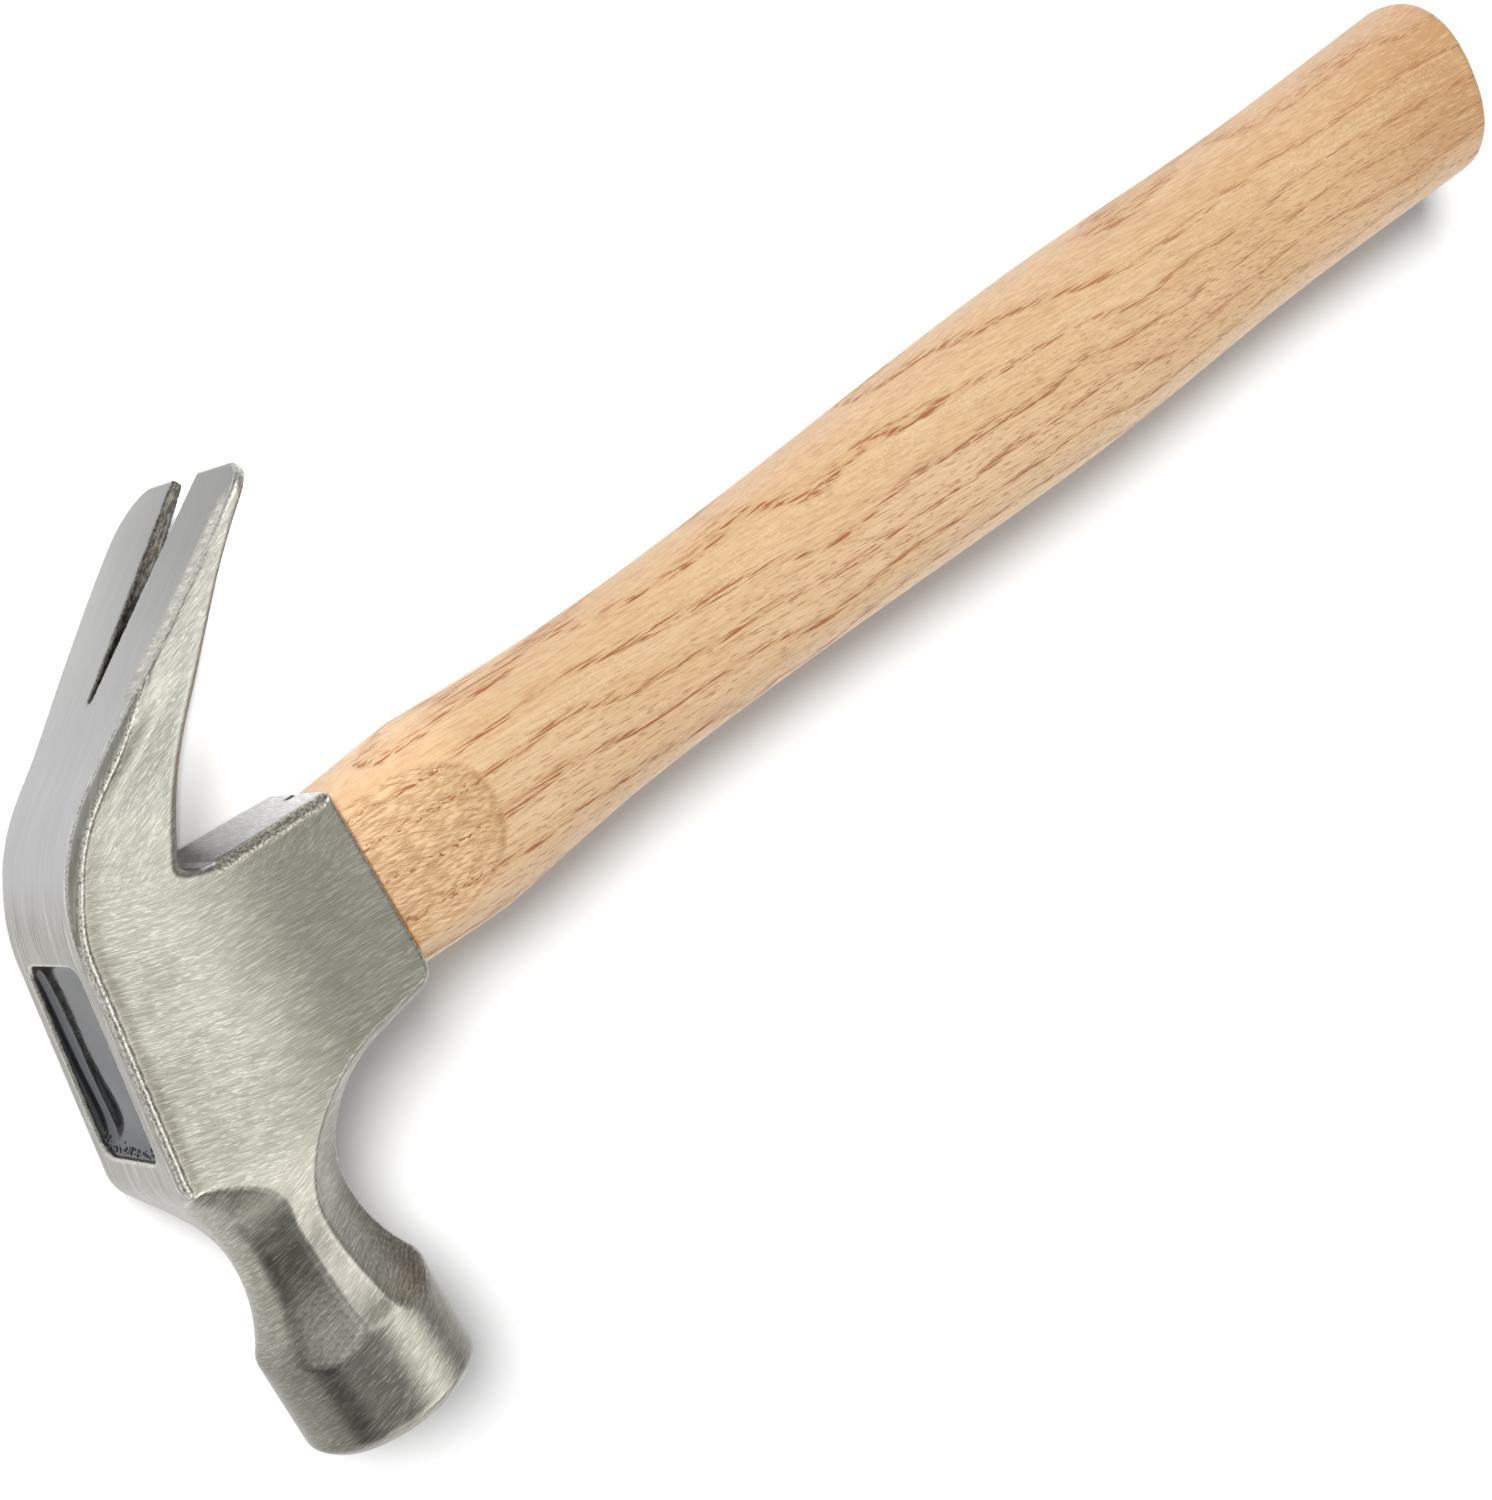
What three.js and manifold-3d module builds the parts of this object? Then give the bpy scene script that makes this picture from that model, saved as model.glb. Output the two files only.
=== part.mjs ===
// A curved claw hammer: a forged steel head on a hardwood handle, held by a wooden wedge and
// two steel wedges in the eye, with a dished resin seal poured over them.
// Millimetres. X runs along the handle, 0 under the head and the butt at +X. The claw points
// to +Y, the striking face looks to -Y, and Z is square to the cheeks. At the end the hammer
// lies on its side with the origin under the middle of its box.

import * as THREE from 'three';
import { mergeVertices } from 'three/addons/utils/BufferGeometryUtils.js';
import Module from 'manifold-3d';

const wasm = await Module();
wasm.setup();

// Head: height on the handle's axis and the climb of its top towards the face, in degrees
const HEAD_HEIGHT = 43.6;
const TOP_SLOPE = 9.4;

// Cheeks: half of the head's thickness at the bottom, its gain for each mm upwards, and bevels
const CHEEK_HALF = 8.9;
const CHEEK_DRAFT = 0.055;
const TOP_BEVEL = 0.7;
const BOSS_BEVEL = 1.2;

// Boss: the collar under the eye that takes the handle
const BOSS_REACH = 14.9;
const BOSS_CORNER = 3.0;
const CLAW_SIDE_DRAFT = 0.062;
const FACE_SIDE_DRAFT = 0.11;

// Poll: round, with a bevelled flat face, its axis this far under the top of the head
const POLL_DROP = 11.1;
const POLL_DIAMETER = 25.6;
const FACE_DIAMETER = 22.2;
const FACE_REACH = 61.5;
const FACE_BEVEL = 1.8;
const POLL_SIDES = 72;

// Neck: an octagon that opens along an arc until it is past the round poll. The ease lengths say
// how far the outline keeps its direction where it leaves the top, the boss and the neck.
const NECK_ACROSS = 17.4;
const NECK_REACH = 32.0;
const NECK_FLARE = 26.3;
const FLARE_PAST = 2.0;
const CHEEK_REACH = 14.4;
const CHEEK_EASE = 5.0;
const NECK_EASE = 9.0;
const BOSS_SIDE = 10.0;
const BOSS_EASE = 8.5;
const FILLET_EASE = 11.0;
const CORNER_STEPS = 4;
const FILLET_STEPS = 14;
const FLARE_STEPS = 8;

// Facets of the neck: the legs of the upper and lower ones down the side and the leg of all across
// the thickness. The upper ones start as hollows beside the cheeks, deepest at a reach of their own.
const FACET_UPPER = 7.5;
const FACET_LOWER = 6.4;
const FACET_ACROSS = 5.1;
const HOLLOW_FROM = 16.6;
const HOLLOW_REACH = 23.5;
const HOLLOW_DROP = 9.2;

// Claw: its outer face leaves the top of the head in a bend and runs straight to the tip
const CLAW_ANGLE = 33.4;
const CLAW_LENGTH = 57.8;
const CLAW_BEND = 27.0;
const CLAW_TIP_WIDTH = 34.4;
const CLAW_FLARE_FROM = 7.0;
const CLAW_FLARE_TO = 50.0;
const CLAW_SIDE_TAPER = 0.16;
const TIP_ROUND_LENGTH = 6.0;
const TIP_ROUND_WIDTH = 4.6;
const TIP_STEPS = 6;
const CLAW_STEPS = 16;

// Claw thickness: at the tip, at two places from the tip and at two from the corner of the bend
const CLAW_TIP_THICK = 1.6;
const NOSE_FROM_TIP = 10.5;
const NOSE_THICK = 2.5;
const BLADE_FROM_TIP = 20.0;
const BLADE_THICK = 4.8;
const HEEL_FROM_CORNER = 22.6;
const HEEL_THICK = 9.6;
const ROOT_FROM_CORNER = 10.6;
const ROOT_THICK = 14.7;
const THROAT_DEPTH = 22.8;

// Nail slot: a V between the tines, from its narrow root to its mouth at the tips
const SLOT_MOUTH = 7.2;
const SLOT_ROOT = 0.8;
const SLOT_LENGTH = 33.6;

// Eye: a rounded slot through the head, wider at the top so that the wedges lock the handle
const EYE_LENGTH_TOP = 27.4;
const EYE_WIDTH_TOP = 16.2;
const EYE_SHIFT_TOP = 1.9;
const EYE_LENGTH = 23.4;
const EYE_WIDTH = 13.2;
const EYE_CORNER = 2.2;
const EYE_MOUTH = 15.6;
const EYE_CORNER_STEPS = 5;

// Handle: full height along Y and full thickness along Z at each place, and where they are
const HANDLE_LENGTH = 279.0;
const SEAT_HEIGHT = 28.6;
const SEAT_THICK = 20.2;
const SHOULDER_AT = 17.5;
const SHOULDER_HEIGHT = 30.8;
const SHOULDER_THICK = 20.6;
const WAIST_AT = 48.0;
const WAIST_HEIGHT = 27.5;
const WAIST_THICK = 19.8;
const SWELL_FROM_BUTT = 117.5;
const SWELL_HEIGHT = 33.7;
const SWELL_THICK = 24.0;
const GRIP_FROM_BUTT = 60.0;
const GRIP_HEIGHT = 32.6;
const GRIP_THICK = 23.4;
const BUTT_HEIGHT = 35.0;
const BUTT_THICK = 26.0;
const BUTT_ROUND = 4.0;
const BUTT_STEPS = 6;
const SECTION_POWER = 2.3;
const SECTION_POINTS = 40;
const HANDLE_STEP = 9.0;

// Scallops: one planed hollow on each side of the handle, next to the head
const SCALLOP_HALF = 7.5;
const SCALLOP_RADIUS = 62.0;
const SCALLOP_AT = 2.0;
const SCALLOP_SIDES = 144;

// Tenon, wedges and resin inside the eye
const TENON_RECESS = 7.0;
const WOOD_WEDGE_THICK = 4.0;
const WOOD_WEDGE_TIP = 0.9;
const WOOD_WEDGE_DEPTH = 24.0;
const STEEL_WEDGE_THICK = 2.4;
const STEEL_WEDGE_TIP = 0.6;
const STEEL_WEDGE_WIDTH = 11.6;
const STEEL_WEDGE_DEPTH = 15.0;
const STEEL_WEDGE_SPACING = 13.0;
const RESIN_RIM_DROP = 1.4;
const RESIN_DISH = 2.4;
const DISH_STEPS = 7;
const CLEARANCE = 0.25;

// Cutters reach this far past what they cut, and points closer than the weld become one
const PAST = 6.0;
const WELD = 1e-5;

const topSlope = Math.tan(THREE.MathUtils.degToRad(TOP_SLOPE));
const topAt = (y) => -HEAD_HEIGHT + topSlope * y;
const cheekAt = (x) => CHEEK_HALF - CHEEK_DRAFT * x;
const pollAxis = POLL_DROP - HEAD_HEIGHT;

// A regular octagon's side as a share of its width across flats

// Closed meshes and boolean work

function geometryFrom(points, index) {
  const geometry = new THREE.BufferGeometry().setFromPoints(points);
  geometry.setIndex(index);
  return geometry;
}

function enclosedVolume(points, index) {
  let sum = 0;
  for (let i = 0; i < index.length; i += 3) {
    const [a, b, c] = [points[index[i]], points[index[i + 1]], points[index[i + 2]]];
    sum += a.dot(b.clone().cross(c)) / 6;
  }
  return sum;
}

// A skin over rings with equal point counts, closed by a fan at each end
function loft(rings) {
  const count = rings[0].length;
  const points = rings.flat().map((point) => point.clone());
  const index = [];
  for (let ring = 0; ring + 1 < rings.length; ring++) {
    for (let i = 0; i < count; i++) {
      const a = ring * count + i;
      const b = ring * count + (i + 1) % count;
      index.push(a, b, a + count, b, b + count, a + count);
    }
  }
  for (const [ring, turn] of [[0, -1], [rings.length - 1, 1]]) {
    const middle = new THREE.Vector3();
    rings[ring].forEach((point) => middle.addScaledVector(point, 1 / count));
    const centre = points.push(middle) - 1;
    for (let i = 0; i < count; i++) {
      const edge = [ring * count + i, ring * count + (i + 1) % count];
      if (turn < 0) edge.reverse();
      index.push(centre, ...edge);
    }
  }
  if (enclosedVolume(points, index) < 0) index.reverse();
  return geometryFrom(points, index);
}

function solid(geometry) {
  const bare = geometry.clone();
  bare.deleteAttribute('normal');
  bare.deleteAttribute('uv');
  const merged = mergeVertices(bare, WELD);
  return new wasm.Manifold(new wasm.Mesh({
    numProp: 3,
    vertProperties: new Float32Array(merged.attributes.position.array),
    triVerts: new Uint32Array(merged.index.array),
  }));
}

function part(name, body, material) {
  const { vertProperties, triVerts } = body.getMesh();
  const geometry = new THREE.BufferGeometry();
  geometry.setAttribute('position', new THREE.BufferAttribute(new Float32Array(vertProperties), 3));
  geometry.setIndex(new THREE.BufferAttribute(new Uint32Array(triVerts), 1));
  geometry.computeVertexNormals();
  const mesh = new THREE.Mesh(geometry, material);
  mesh.name = name;
  return mesh;
}

// A four sided taper along X: half sizes in Y and Z at its top and at its lower end
function taper(x0, half0, x1, half1, y = 0) {
  const corners = [[1, 1], [-1, 1], [-1, -1], [1, -1]];
  const ring = (x, [halfY, halfZ]) =>
    corners.map(([sy, sz]) => new THREE.Vector3(x, y + sy * halfY, sz * halfZ));
  return solid(loft([ring(x0, half0), ring(x1, half1)]));
}

// A smooth curve through rows of a place and its values. It gives the values at any place.
function smooth(stops) {
  const width = stops[0].length - 1;
  const places = stops.map((stop) => stop[0]);
  const values = stops.flatMap((stop) => stop.slice(1));
  const curve = new THREE.CubicInterpolant(places, values, width);
  return (place) => [...curve.evaluate(place)];
}

// Eye

const eyeShape = (x) => {
  const down = THREE.MathUtils.clamp((x + HEAD_HEIGHT) / EYE_MOUTH, 0, 1);
  const mix = (top, below) => THREE.MathUtils.lerp(top, below, down);
  return {
    y: mix(EYE_SHIFT_TOP, 0),
    halfLength: mix(EYE_LENGTH_TOP, EYE_LENGTH) / 2,
    halfWidth: mix(EYE_WIDTH_TOP, EYE_WIDTH) / 2,
  };
};

// The eye's outline at one height, drawn in by a gap, scaled about its middle, tilted if asked
function eyeRing(x, gap = 0, scale = 1, tilt = 0) {
  const { y, halfLength, halfWidth } = eyeShape(x);
  const radius = EYE_CORNER - gap;
  const straightY = halfLength - EYE_CORNER;
  const straightZ = halfWidth - EYE_CORNER;
  const points = [];
  [[1, 1], [-1, 1], [-1, -1], [1, -1]].forEach(([sy, sz], quarter) => {
    for (let i = 0; i <= EYE_CORNER_STEPS; i++) {
      const angle = (quarter + i / EYE_CORNER_STEPS) * Math.PI / 2;
      const across = scale * (sy * straightY + radius * Math.cos(angle));
      const depth = scale * (sz * straightZ + radius * Math.sin(angle));
      points.push(new THREE.Vector3(x + tilt * (y + across), y + across, depth));
    }
  });
  return points;
}

function eyeSolid(from, to, gap = 0) {
  const breaks = [-HEAD_HEIGHT, -HEAD_HEIGHT + EYE_MOUTH];
  const heights = [from, ...breaks.filter((x) => x > from && x < to), to];
  return solid(loft(heights.map((x) => eyeRing(x, gap))));
}

// What lies below or above a plane that is parallel to the top of the head, a drop under it
function trimAtDrop(body, drop, keepBelow) {
  const side = keepBelow ? 1 : -1;
  const normal = new THREE.Vector3(1, -topSlope, 0).normalize().multiplyScalar(side);
  return body.trimByPlane(normal.toArray(), normal.x * (drop - HEAD_HEIGHT));
}

// Head

const spread = (from, to, steps) =>
  Array.from({ length: steps + 1 }, (_, i) => from + (to - from) * i / steps);

// An eight sided section. The top and bottom edges are points in the side view, each with its
// half width, and the corners beside them lie a bevel further in, with half widths of their own.
function section(top, bottom, edges) {
  const down = bottom.clone().sub(top).normalize();
  const corner = (point, bevel, half) =>
    new THREE.Vector3(point.x + down.x * bevel, point.y + down.y * bevel, half);
  const near = [
    corner(top, 0, edges.topHalf),
    corner(top, edges.topBevel, edges.upperHalf),
    corner(bottom, -edges.bottomBevel, edges.lowerHalf),
    corner(bottom, 0, edges.bottomHalf),
  ];
  const far = near.map((point) => new THREE.Vector3(point.x, point.y, -point.z));
  return [...near, ...far.reverse()];
}

// Outer face of the claw: straight from the tip, then a bend onto the sloping top of the head
function clawOuter() {
  const angle = THREE.MathUtils.degToRad(CLAW_ANGLE);
  const along = new THREE.Vector2(Math.cos(angle), Math.sin(angle));
  const topDirection = new THREE.Vector2(topSlope, 1).normalize();
  const turn = along.angleTo(topDirection);
  const tangent = CLAW_BEND * Math.tan(turn / 2);
  const bendEnd = new THREE.Vector2(topAt(BOSS_REACH), BOSS_REACH);
  const corner = bendEnd.clone().addScaledVector(topDirection, tangent);
  const bendStart = corner.clone().addScaledVector(along, tangent);
  const tip = corner.clone().addScaledVector(along, CLAW_LENGTH);
  const path = new THREE.CurvePath();
  path.add(new THREE.LineCurve(tip, bendStart));
  const inward = new THREE.Vector2(topDirection.y, -topDirection.x);
  const centre = bendEnd.clone().addScaledVector(inward, CLAW_BEND);
  const startAngle = bendStart.clone().sub(centre).angle();
  const endAngle = bendEnd.clone().sub(centre).angle();
  path.add(new THREE.EllipseCurve(centre.x, centre.y, CLAW_BEND, CLAW_BEND, startAngle, endAngle));
  return { path, tip, along, square: new THREE.Vector2(along.y, -along.x) };
}

// Inner face of the claw: from the thin tip it thickens and curls into the throat above the boss
function clawInner({ tip, along, square }) {
  const at = (back, thick) =>
    tip.clone().addScaledVector(along, -back).addScaledVector(square, thick);
  return new THREE.SplineCurve([
    at(0, CLAW_TIP_THICK),
    at(NOSE_FROM_TIP, NOSE_THICK),
    at(BLADE_FROM_TIP, BLADE_THICK),
    at(CLAW_LENGTH - HEEL_FROM_CORNER, HEEL_THICK),
    at(CLAW_LENGTH - ROOT_FROM_CORNER, ROOT_THICK),
    new THREE.Vector2(-THROAT_DEPTH, BOSS_REACH + CLAW_SIDE_DRAFT * THROAT_DEPTH),
  ]);
}

function clawSections() {
  const outer = clawOuter();
  const inner = clawInner(outer);
  const length = outer.path.getLength();
  const tipRound = spread(0, 1, TIP_STEPS).map((t) => TIP_ROUND_LENGTH * t * t);
  const rest = spread(TIP_ROUND_LENGTH, length, CLAW_STEPS).slice(1);
  return [...tipRound, ...rest].map((back) => {
    const top = outer.path.getPointAt(back / length);
    const bottom = inner.getPointAt(back / length);
    const thick = top.distanceTo(bottom);
    const flare = 1 - THREE.MathUtils.smoothstep(back, CLAW_FLARE_FROM, CLAW_FLARE_TO);
    const round = Math.max(0, 1 - back / TIP_ROUND_LENGTH);
    const shrink = TIP_ROUND_WIDTH * (1 - Math.sqrt(1 - round * round));
    const tipHalf = CLAW_TIP_WIDTH / 2 - shrink;
    const half = THREE.MathUtils.lerp(cheekAt(top.x), tipHalf, flare);
    const innerHalf = THREE.MathUtils.lerp(cheekAt(bottom.x), tipHalf - CLAW_SIDE_TAPER * thick, flare);
    const bevel = Math.min(TOP_BEVEL, thick / 4);
    return section(top, bottom, {
      topHalf: half - bevel, topBevel: bevel, upperHalf: half,
      lowerHalf: innerHalf, bottomBevel: bevel, bottomHalf: innerHalf - bevel,
    });
  });
}

// Rings down the claw side of the boss: its flat face, then the bevel onto the cheeks
function bossSections() {
  const bevelled = (y, bottomX, half) => {
    const top = new THREE.Vector2(topAt(y), y);
    const bottom = new THREE.Vector2(bottomX, y);
    return section(top, bottom, {
      topHalf: cheekAt(top.x) - TOP_BEVEL, topBevel: TOP_BEVEL, upperHalf: cheekAt(top.x),
      lowerHalf: half, bottomBevel: BOSS_BEVEL, bottomHalf: half - BOSS_BEVEL,
    });
  };
  const face = bevelled(BOSS_REACH, 0, CHEEK_HALF - BOSS_BEVEL);
  return [face, bevelled(BOSS_REACH - BOSS_BEVEL, 0, cheekAt(-BOSS_BEVEL))];
}

// Side outline from the boss to the neck, as reach towards the face and height X. The upper
// edge is a height for each reach, and the lower one goes round the boss's corner and fillet.
function neckOutline() {
  const point = (reach, x) => new THREE.Vector2(reach, x);
  const neckTop = pollAxis - NECK_ACROSS / 2;
  const neckBottom = pollAxis + NECK_ACROSS / 2;
  const shoulder = new THREE.CubicBezierCurve(
    point(CHEEK_REACH, topAt(-CHEEK_REACH)),
    point(CHEEK_REACH + CHEEK_EASE, topAt(-CHEEK_REACH - CHEEK_EASE)),
    point(NECK_REACH - NECK_EASE, neckTop),
    point(NECK_REACH, neckTop));
  const overNeck = smooth(shoulder.getPoints(FILLET_STEPS).map(({ x, y }) => [x, y]));
  const upper = (reach) => reach < CHEEK_REACH ? topAt(-reach) : overNeck(reach)[0];
  const sideAt = (height) => point(BOSS_REACH + FACE_SIDE_DRAFT * height, -height);
  const corner = new THREE.QuadraticBezierCurve(
    point(BOSS_REACH - BOSS_CORNER, 0), point(BOSS_REACH, 0), sideAt(BOSS_CORNER));
  const fillet = new THREE.CubicBezierCurve(
    sideAt(BOSS_SIDE),
    sideAt(BOSS_SIDE + BOSS_EASE),
    point(NECK_REACH - FILLET_EASE, neckBottom),
    point(NECK_REACH, neckBottom));
  return { upper, lower: [...corner.getPoints(CORNER_STEPS), ...fillet.getPoints(FILLET_STEPS)] };
}

// Rings from the boss through the neck. The upper facets start as tall hollows beside the
// cheeks, and all facets settle into the octagon.
function neckSections() {
  const { upper, lower } = neckOutline();
  const { lerp, smoothstep } = THREE.MathUtils;
  const neckHalf = NECK_ACROSS / 2;
  return lower.map(({ x: reach, y: bottomX }) => {
    const topX = upper(reach);
    const settle = smoothstep(reach, CHEEK_REACH, NECK_REACH);
    const rise = smoothstep(reach, HOLLOW_FROM, HOLLOW_REACH);
    const fall = smoothstep(reach, HOLLOW_REACH, NECK_REACH);
    const topBevel = lerp(lerp(TOP_BEVEL, HOLLOW_DROP, rise), FACET_UPPER, fall);
    const bottomBevel = lerp(BOSS_BEVEL, FACET_LOWER, settle);
    const lowerHalf = lerp(cheekAt(bottomX - bottomBevel), neckHalf, settle);
    return section(new THREE.Vector2(topX, -reach), new THREE.Vector2(bottomX, -reach), {
      topHalf: lerp(cheekAt(topX) - TOP_BEVEL, neckHalf - FACET_ACROSS, settle),
      topBevel,
      upperHalf: lerp(cheekAt(topX + topBevel), neckHalf, settle),
      lowerHalf,
      bottomBevel,
      bottomHalf: lowerHalf - lerp(BOSS_BEVEL, FACET_ACROSS, settle),
    });
  });
}

// The octagon opens along an arc until it clears the round poll, which trims it
function flareSections() {
  const neckHalf = NECK_ACROSS / 2;
  const clear = POLL_DIAMETER / 2 + FLARE_PAST;
  const rise = clear - neckHalf;
  const run = Math.sqrt(rise * (2 * NECK_FLARE - rise));
  const ring = (reach, half) => {
    const top = new THREE.Vector2(pollAxis - half, -reach);
    const bottom = new THREE.Vector2(pollAxis + half, -reach);
    const scale = half / neckHalf;
    const narrow = half - scale * FACET_ACROSS;
    return section(top, bottom, {
      topHalf: narrow, topBevel: scale * FACET_UPPER, upperHalf: half,
      lowerHalf: half, bottomBevel: scale * FACET_LOWER, bottomHalf: narrow,
    });
  };
  const flare = spread(0, run, FLARE_STEPS).slice(1).map((step) =>
    ring(NECK_REACH + step, neckHalf + NECK_FLARE - Math.sqrt(NECK_FLARE ** 2 - step * step)));
  return [...flare, ring(FACE_REACH + PAST, clear)];
}

// The round poll with its bevelled face, and room for all of the head behind the neck
function pollTrim() {
  const wide = 2 * FACE_REACH;
  const profile = [
    [0, -wide], [wide, -wide], [wide, NECK_REACH], [POLL_DIAMETER / 2, NECK_REACH],
    [POLL_DIAMETER / 2, FACE_REACH - FACE_BEVEL], [FACE_DIAMETER / 2, FACE_REACH], [0, FACE_REACH],
  ].map(([radius, reach]) => new THREE.Vector2(radius, reach));
  const lathe = new THREE.LatheGeometry(profile, POLL_SIDES);
  lathe.rotateX(Math.PI);
  lathe.translate(pollAxis, 0, 0);
  return solid(lathe);
}

// The nail slot: a narrow V that opens at the tips, cut square to the claw's outer face
function nailSlot() {
  const { tip, along, square } = clawOuter();
  const spreadRate = (SLOT_MOUTH - SLOT_ROOT) / (2 * SLOT_LENGTH);
  const ring = (back, half) => {
    const middle = tip.clone().addScaledVector(along, -back);
    const outside = middle.clone().addScaledVector(square, -PAST);
    const inside = middle.clone().addScaledVector(square, ROOT_THICK + PAST);
    return [
      new THREE.Vector3(outside.x, outside.y, half),
      new THREE.Vector3(inside.x, inside.y, half),
      new THREE.Vector3(inside.x, inside.y, -half),
      new THREE.Vector3(outside.x, outside.y, -half),
    ];
  };
  return solid(loft([
    ring(SLOT_LENGTH, SLOT_ROOT / 2),
    ring(-PAST, SLOT_MOUTH / 2 + PAST * spreadRate),
  ]));
}

function hammerHead() {
  const rings = [...clawSections(), ...bossSections(), ...neckSections(), ...flareSections()];
  const eye = eyeSolid(topAt(-FACE_REACH) - PAST, PAST);
  return solid(loft(rings)).intersect(pollTrim()).subtract(nailSlot()).subtract(eye);
}

// Handle

function handleRing(x, height, thick) {
  const bend = 2 / SECTION_POWER;
  const round = (value) => Math.sign(value) * Math.abs(value) ** bend;
  return Array.from({ length: SECTION_POINTS }, (_, i) => {
    const angle = 2 * Math.PI * i / SECTION_POINTS;
    return new THREE.Vector3(
      x, round(Math.cos(angle)) * height / 2, round(Math.sin(angle)) * thick / 2);
  });
}

function handleBody() {
  const buttStart = HANDLE_LENGTH - BUTT_ROUND;
  const size = smooth([
    [0, SEAT_HEIGHT, SEAT_THICK],
    [SHOULDER_AT, SHOULDER_HEIGHT, SHOULDER_THICK],
    [WAIST_AT, WAIST_HEIGHT, WAIST_THICK],
    [HANDLE_LENGTH - SWELL_FROM_BUTT, SWELL_HEIGHT, SWELL_THICK],
    [HANDLE_LENGTH - GRIP_FROM_BUTT, GRIP_HEIGHT, GRIP_THICK],
    [buttStart, BUTT_HEIGHT, BUTT_THICK],
  ]);
  const steps = Math.round(buttStart / HANDLE_STEP);
  const shaft = spread(CLEARANCE, buttStart, steps).map((x) => handleRing(x, ...size(x)));
  const end = spread(0, Math.PI / 2, BUTT_STEPS).slice(1).map((angle) => {
    const inset = 2 * BUTT_ROUND * (1 - Math.cos(angle));
    const x = buttStart + BUTT_ROUND * Math.sin(angle);
    return handleRing(x, BUTT_HEIGHT - inset, BUTT_THICK - inset);
  });
  return solid(loft([...shaft, ...end]));
}

function scallop(side) {
  const length = 2 * SHOULDER_HEIGHT;
  const cutter = new THREE.CylinderGeometry(SCALLOP_RADIUS, SCALLOP_RADIUS, length, SCALLOP_SIDES);
  cutter.translate(SCALLOP_AT, 0, side * (SCALLOP_HALF + SCALLOP_RADIUS));
  return solid(cutter);
}

// The end of the handle that fills the eye, cut off parallel to the top of the head
function tenon() {
  return trimAtDrop(eyeSolid(-HEAD_HEIGHT - PAST, 2 * CLEARANCE, CLEARANCE), TENON_RECESS, true);
}

const tenonTop = TENON_RECESS - HEAD_HEIGHT;

function woodWedgeTaper(gap) {
  const reach = EYE_LENGTH_TOP;
  const lean = (WOOD_WEDGE_THICK - WOOD_WEDGE_TIP) / (2 * WOOD_WEDGE_DEPTH);
  const from = tenonTop - PAST;
  const to = tenonTop + WOOD_WEDGE_DEPTH + gap;
  const halfAt = (x) => WOOD_WEDGE_THICK / 2 - lean * (x - tenonTop) + gap;
  return taper(from, [reach, halfAt(from)], to, [reach, halfAt(to)]);
}

function steelWedgeTaper(y, gap) {
  const lean = (STEEL_WEDGE_THICK - STEEL_WEDGE_TIP) / (2 * STEEL_WEDGE_DEPTH);
  const from = tenonTop - PAST;
  const to = tenonTop + STEEL_WEDGE_DEPTH + gap;
  const halfAt = (x) => STEEL_WEDGE_THICK / 2 - lean * (x - tenonTop) + gap;
  const wide = STEEL_WEDGE_WIDTH / 2 + gap;
  return taper(from, [halfAt(from), wide], to, [halfAt(to), wide], y);
}

const steelWedgePlaces = {
  steel_wedge_claw_side: STEEL_WEDGE_SPACING / 2,
  steel_wedge_face_side: -STEEL_WEDGE_SPACING / 2,
};

function handle() {
  let body = handleBody().subtract(scallop(1)).subtract(scallop(-1)).add(tenon());
  body = body.subtract(woodWedgeTaper(CLEARANCE));
  for (const y of Object.values(steelWedgePlaces)) {
    body = body.subtract(steelWedgeTaper(y, CLEARANCE));
  }
  return body;
}

function woodWedge() {
  let wedge = woodWedgeTaper(0).intersect(tenon());
  for (const y of Object.values(steelWedgePlaces)) {
    wedge = wedge.subtract(steelWedgeTaper(y, CLEARANCE));
  }
  return wedge;
}

// Resin over the end of the handle, drawn up at the walls of the eye and dished in the middle
function resinSeal() {
  const plug = eyeSolid(-HEAD_HEIGHT - PAST, 0, CLEARANCE);
  const over = trimAtDrop(plug, TENON_RECESS - CLEARANCE, false);
  const rim = RESIN_RIM_DROP - HEAD_HEIGHT;
  const outside = -2 * CLEARANCE;
  const dish = spread(0, Math.PI / 2, DISH_STEPS).slice(0, -1).map((angle) =>
    eyeRing(rim + RESIN_DISH * Math.sin(angle), outside, Math.cos(angle), topSlope));
  const lid = eyeRing(rim - 2 * PAST, outside, 1, topSlope);
  return over.subtract(solid(loft([lid, ...dish])));
}

// Assembly

const steel = new THREE.MeshStandardMaterial({ color: 0xa9a89f, metalness: 1.0, roughness: 0.38 });
const hardwood = new THREE.MeshStandardMaterial({ color: 0xdcb584, metalness: 0.0, roughness: 0.55 });
const wedgeWood = new THREE.MeshStandardMaterial({ color: 0xc69c68, metalness: 0.0, roughness: 0.7 });
const wedgeSteel = new THREE.MeshStandardMaterial({ color: 0x85837d, metalness: 1.0, roughness: 0.5 });
const resin = new THREE.MeshStandardMaterial({ color: 0x0c0c0e, metalness: 0.0, roughness: 0.08 });

const hammer = new THREE.Group();
hammer.add(part('hammer_head', hammerHead(), steel));
hammer.add(part('handle', handle(), hardwood));
hammer.add(part('wooden_wedge', woodWedge(), wedgeWood));
for (const [name, y] of Object.entries(steelWedgePlaces)) {
  hammer.add(part(name, steelWedgeTaper(y, 0).intersect(tenon()), wedgeSteel));
}
hammer.add(part('resin_seal', resinSeal(), resin));

const box = new THREE.Box3().setFromObject(hammer);
const middle = box.getCenter(new THREE.Vector3());
hammer.position.set(-middle.x, -middle.y, -box.min.z);

export default hammer;
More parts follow.
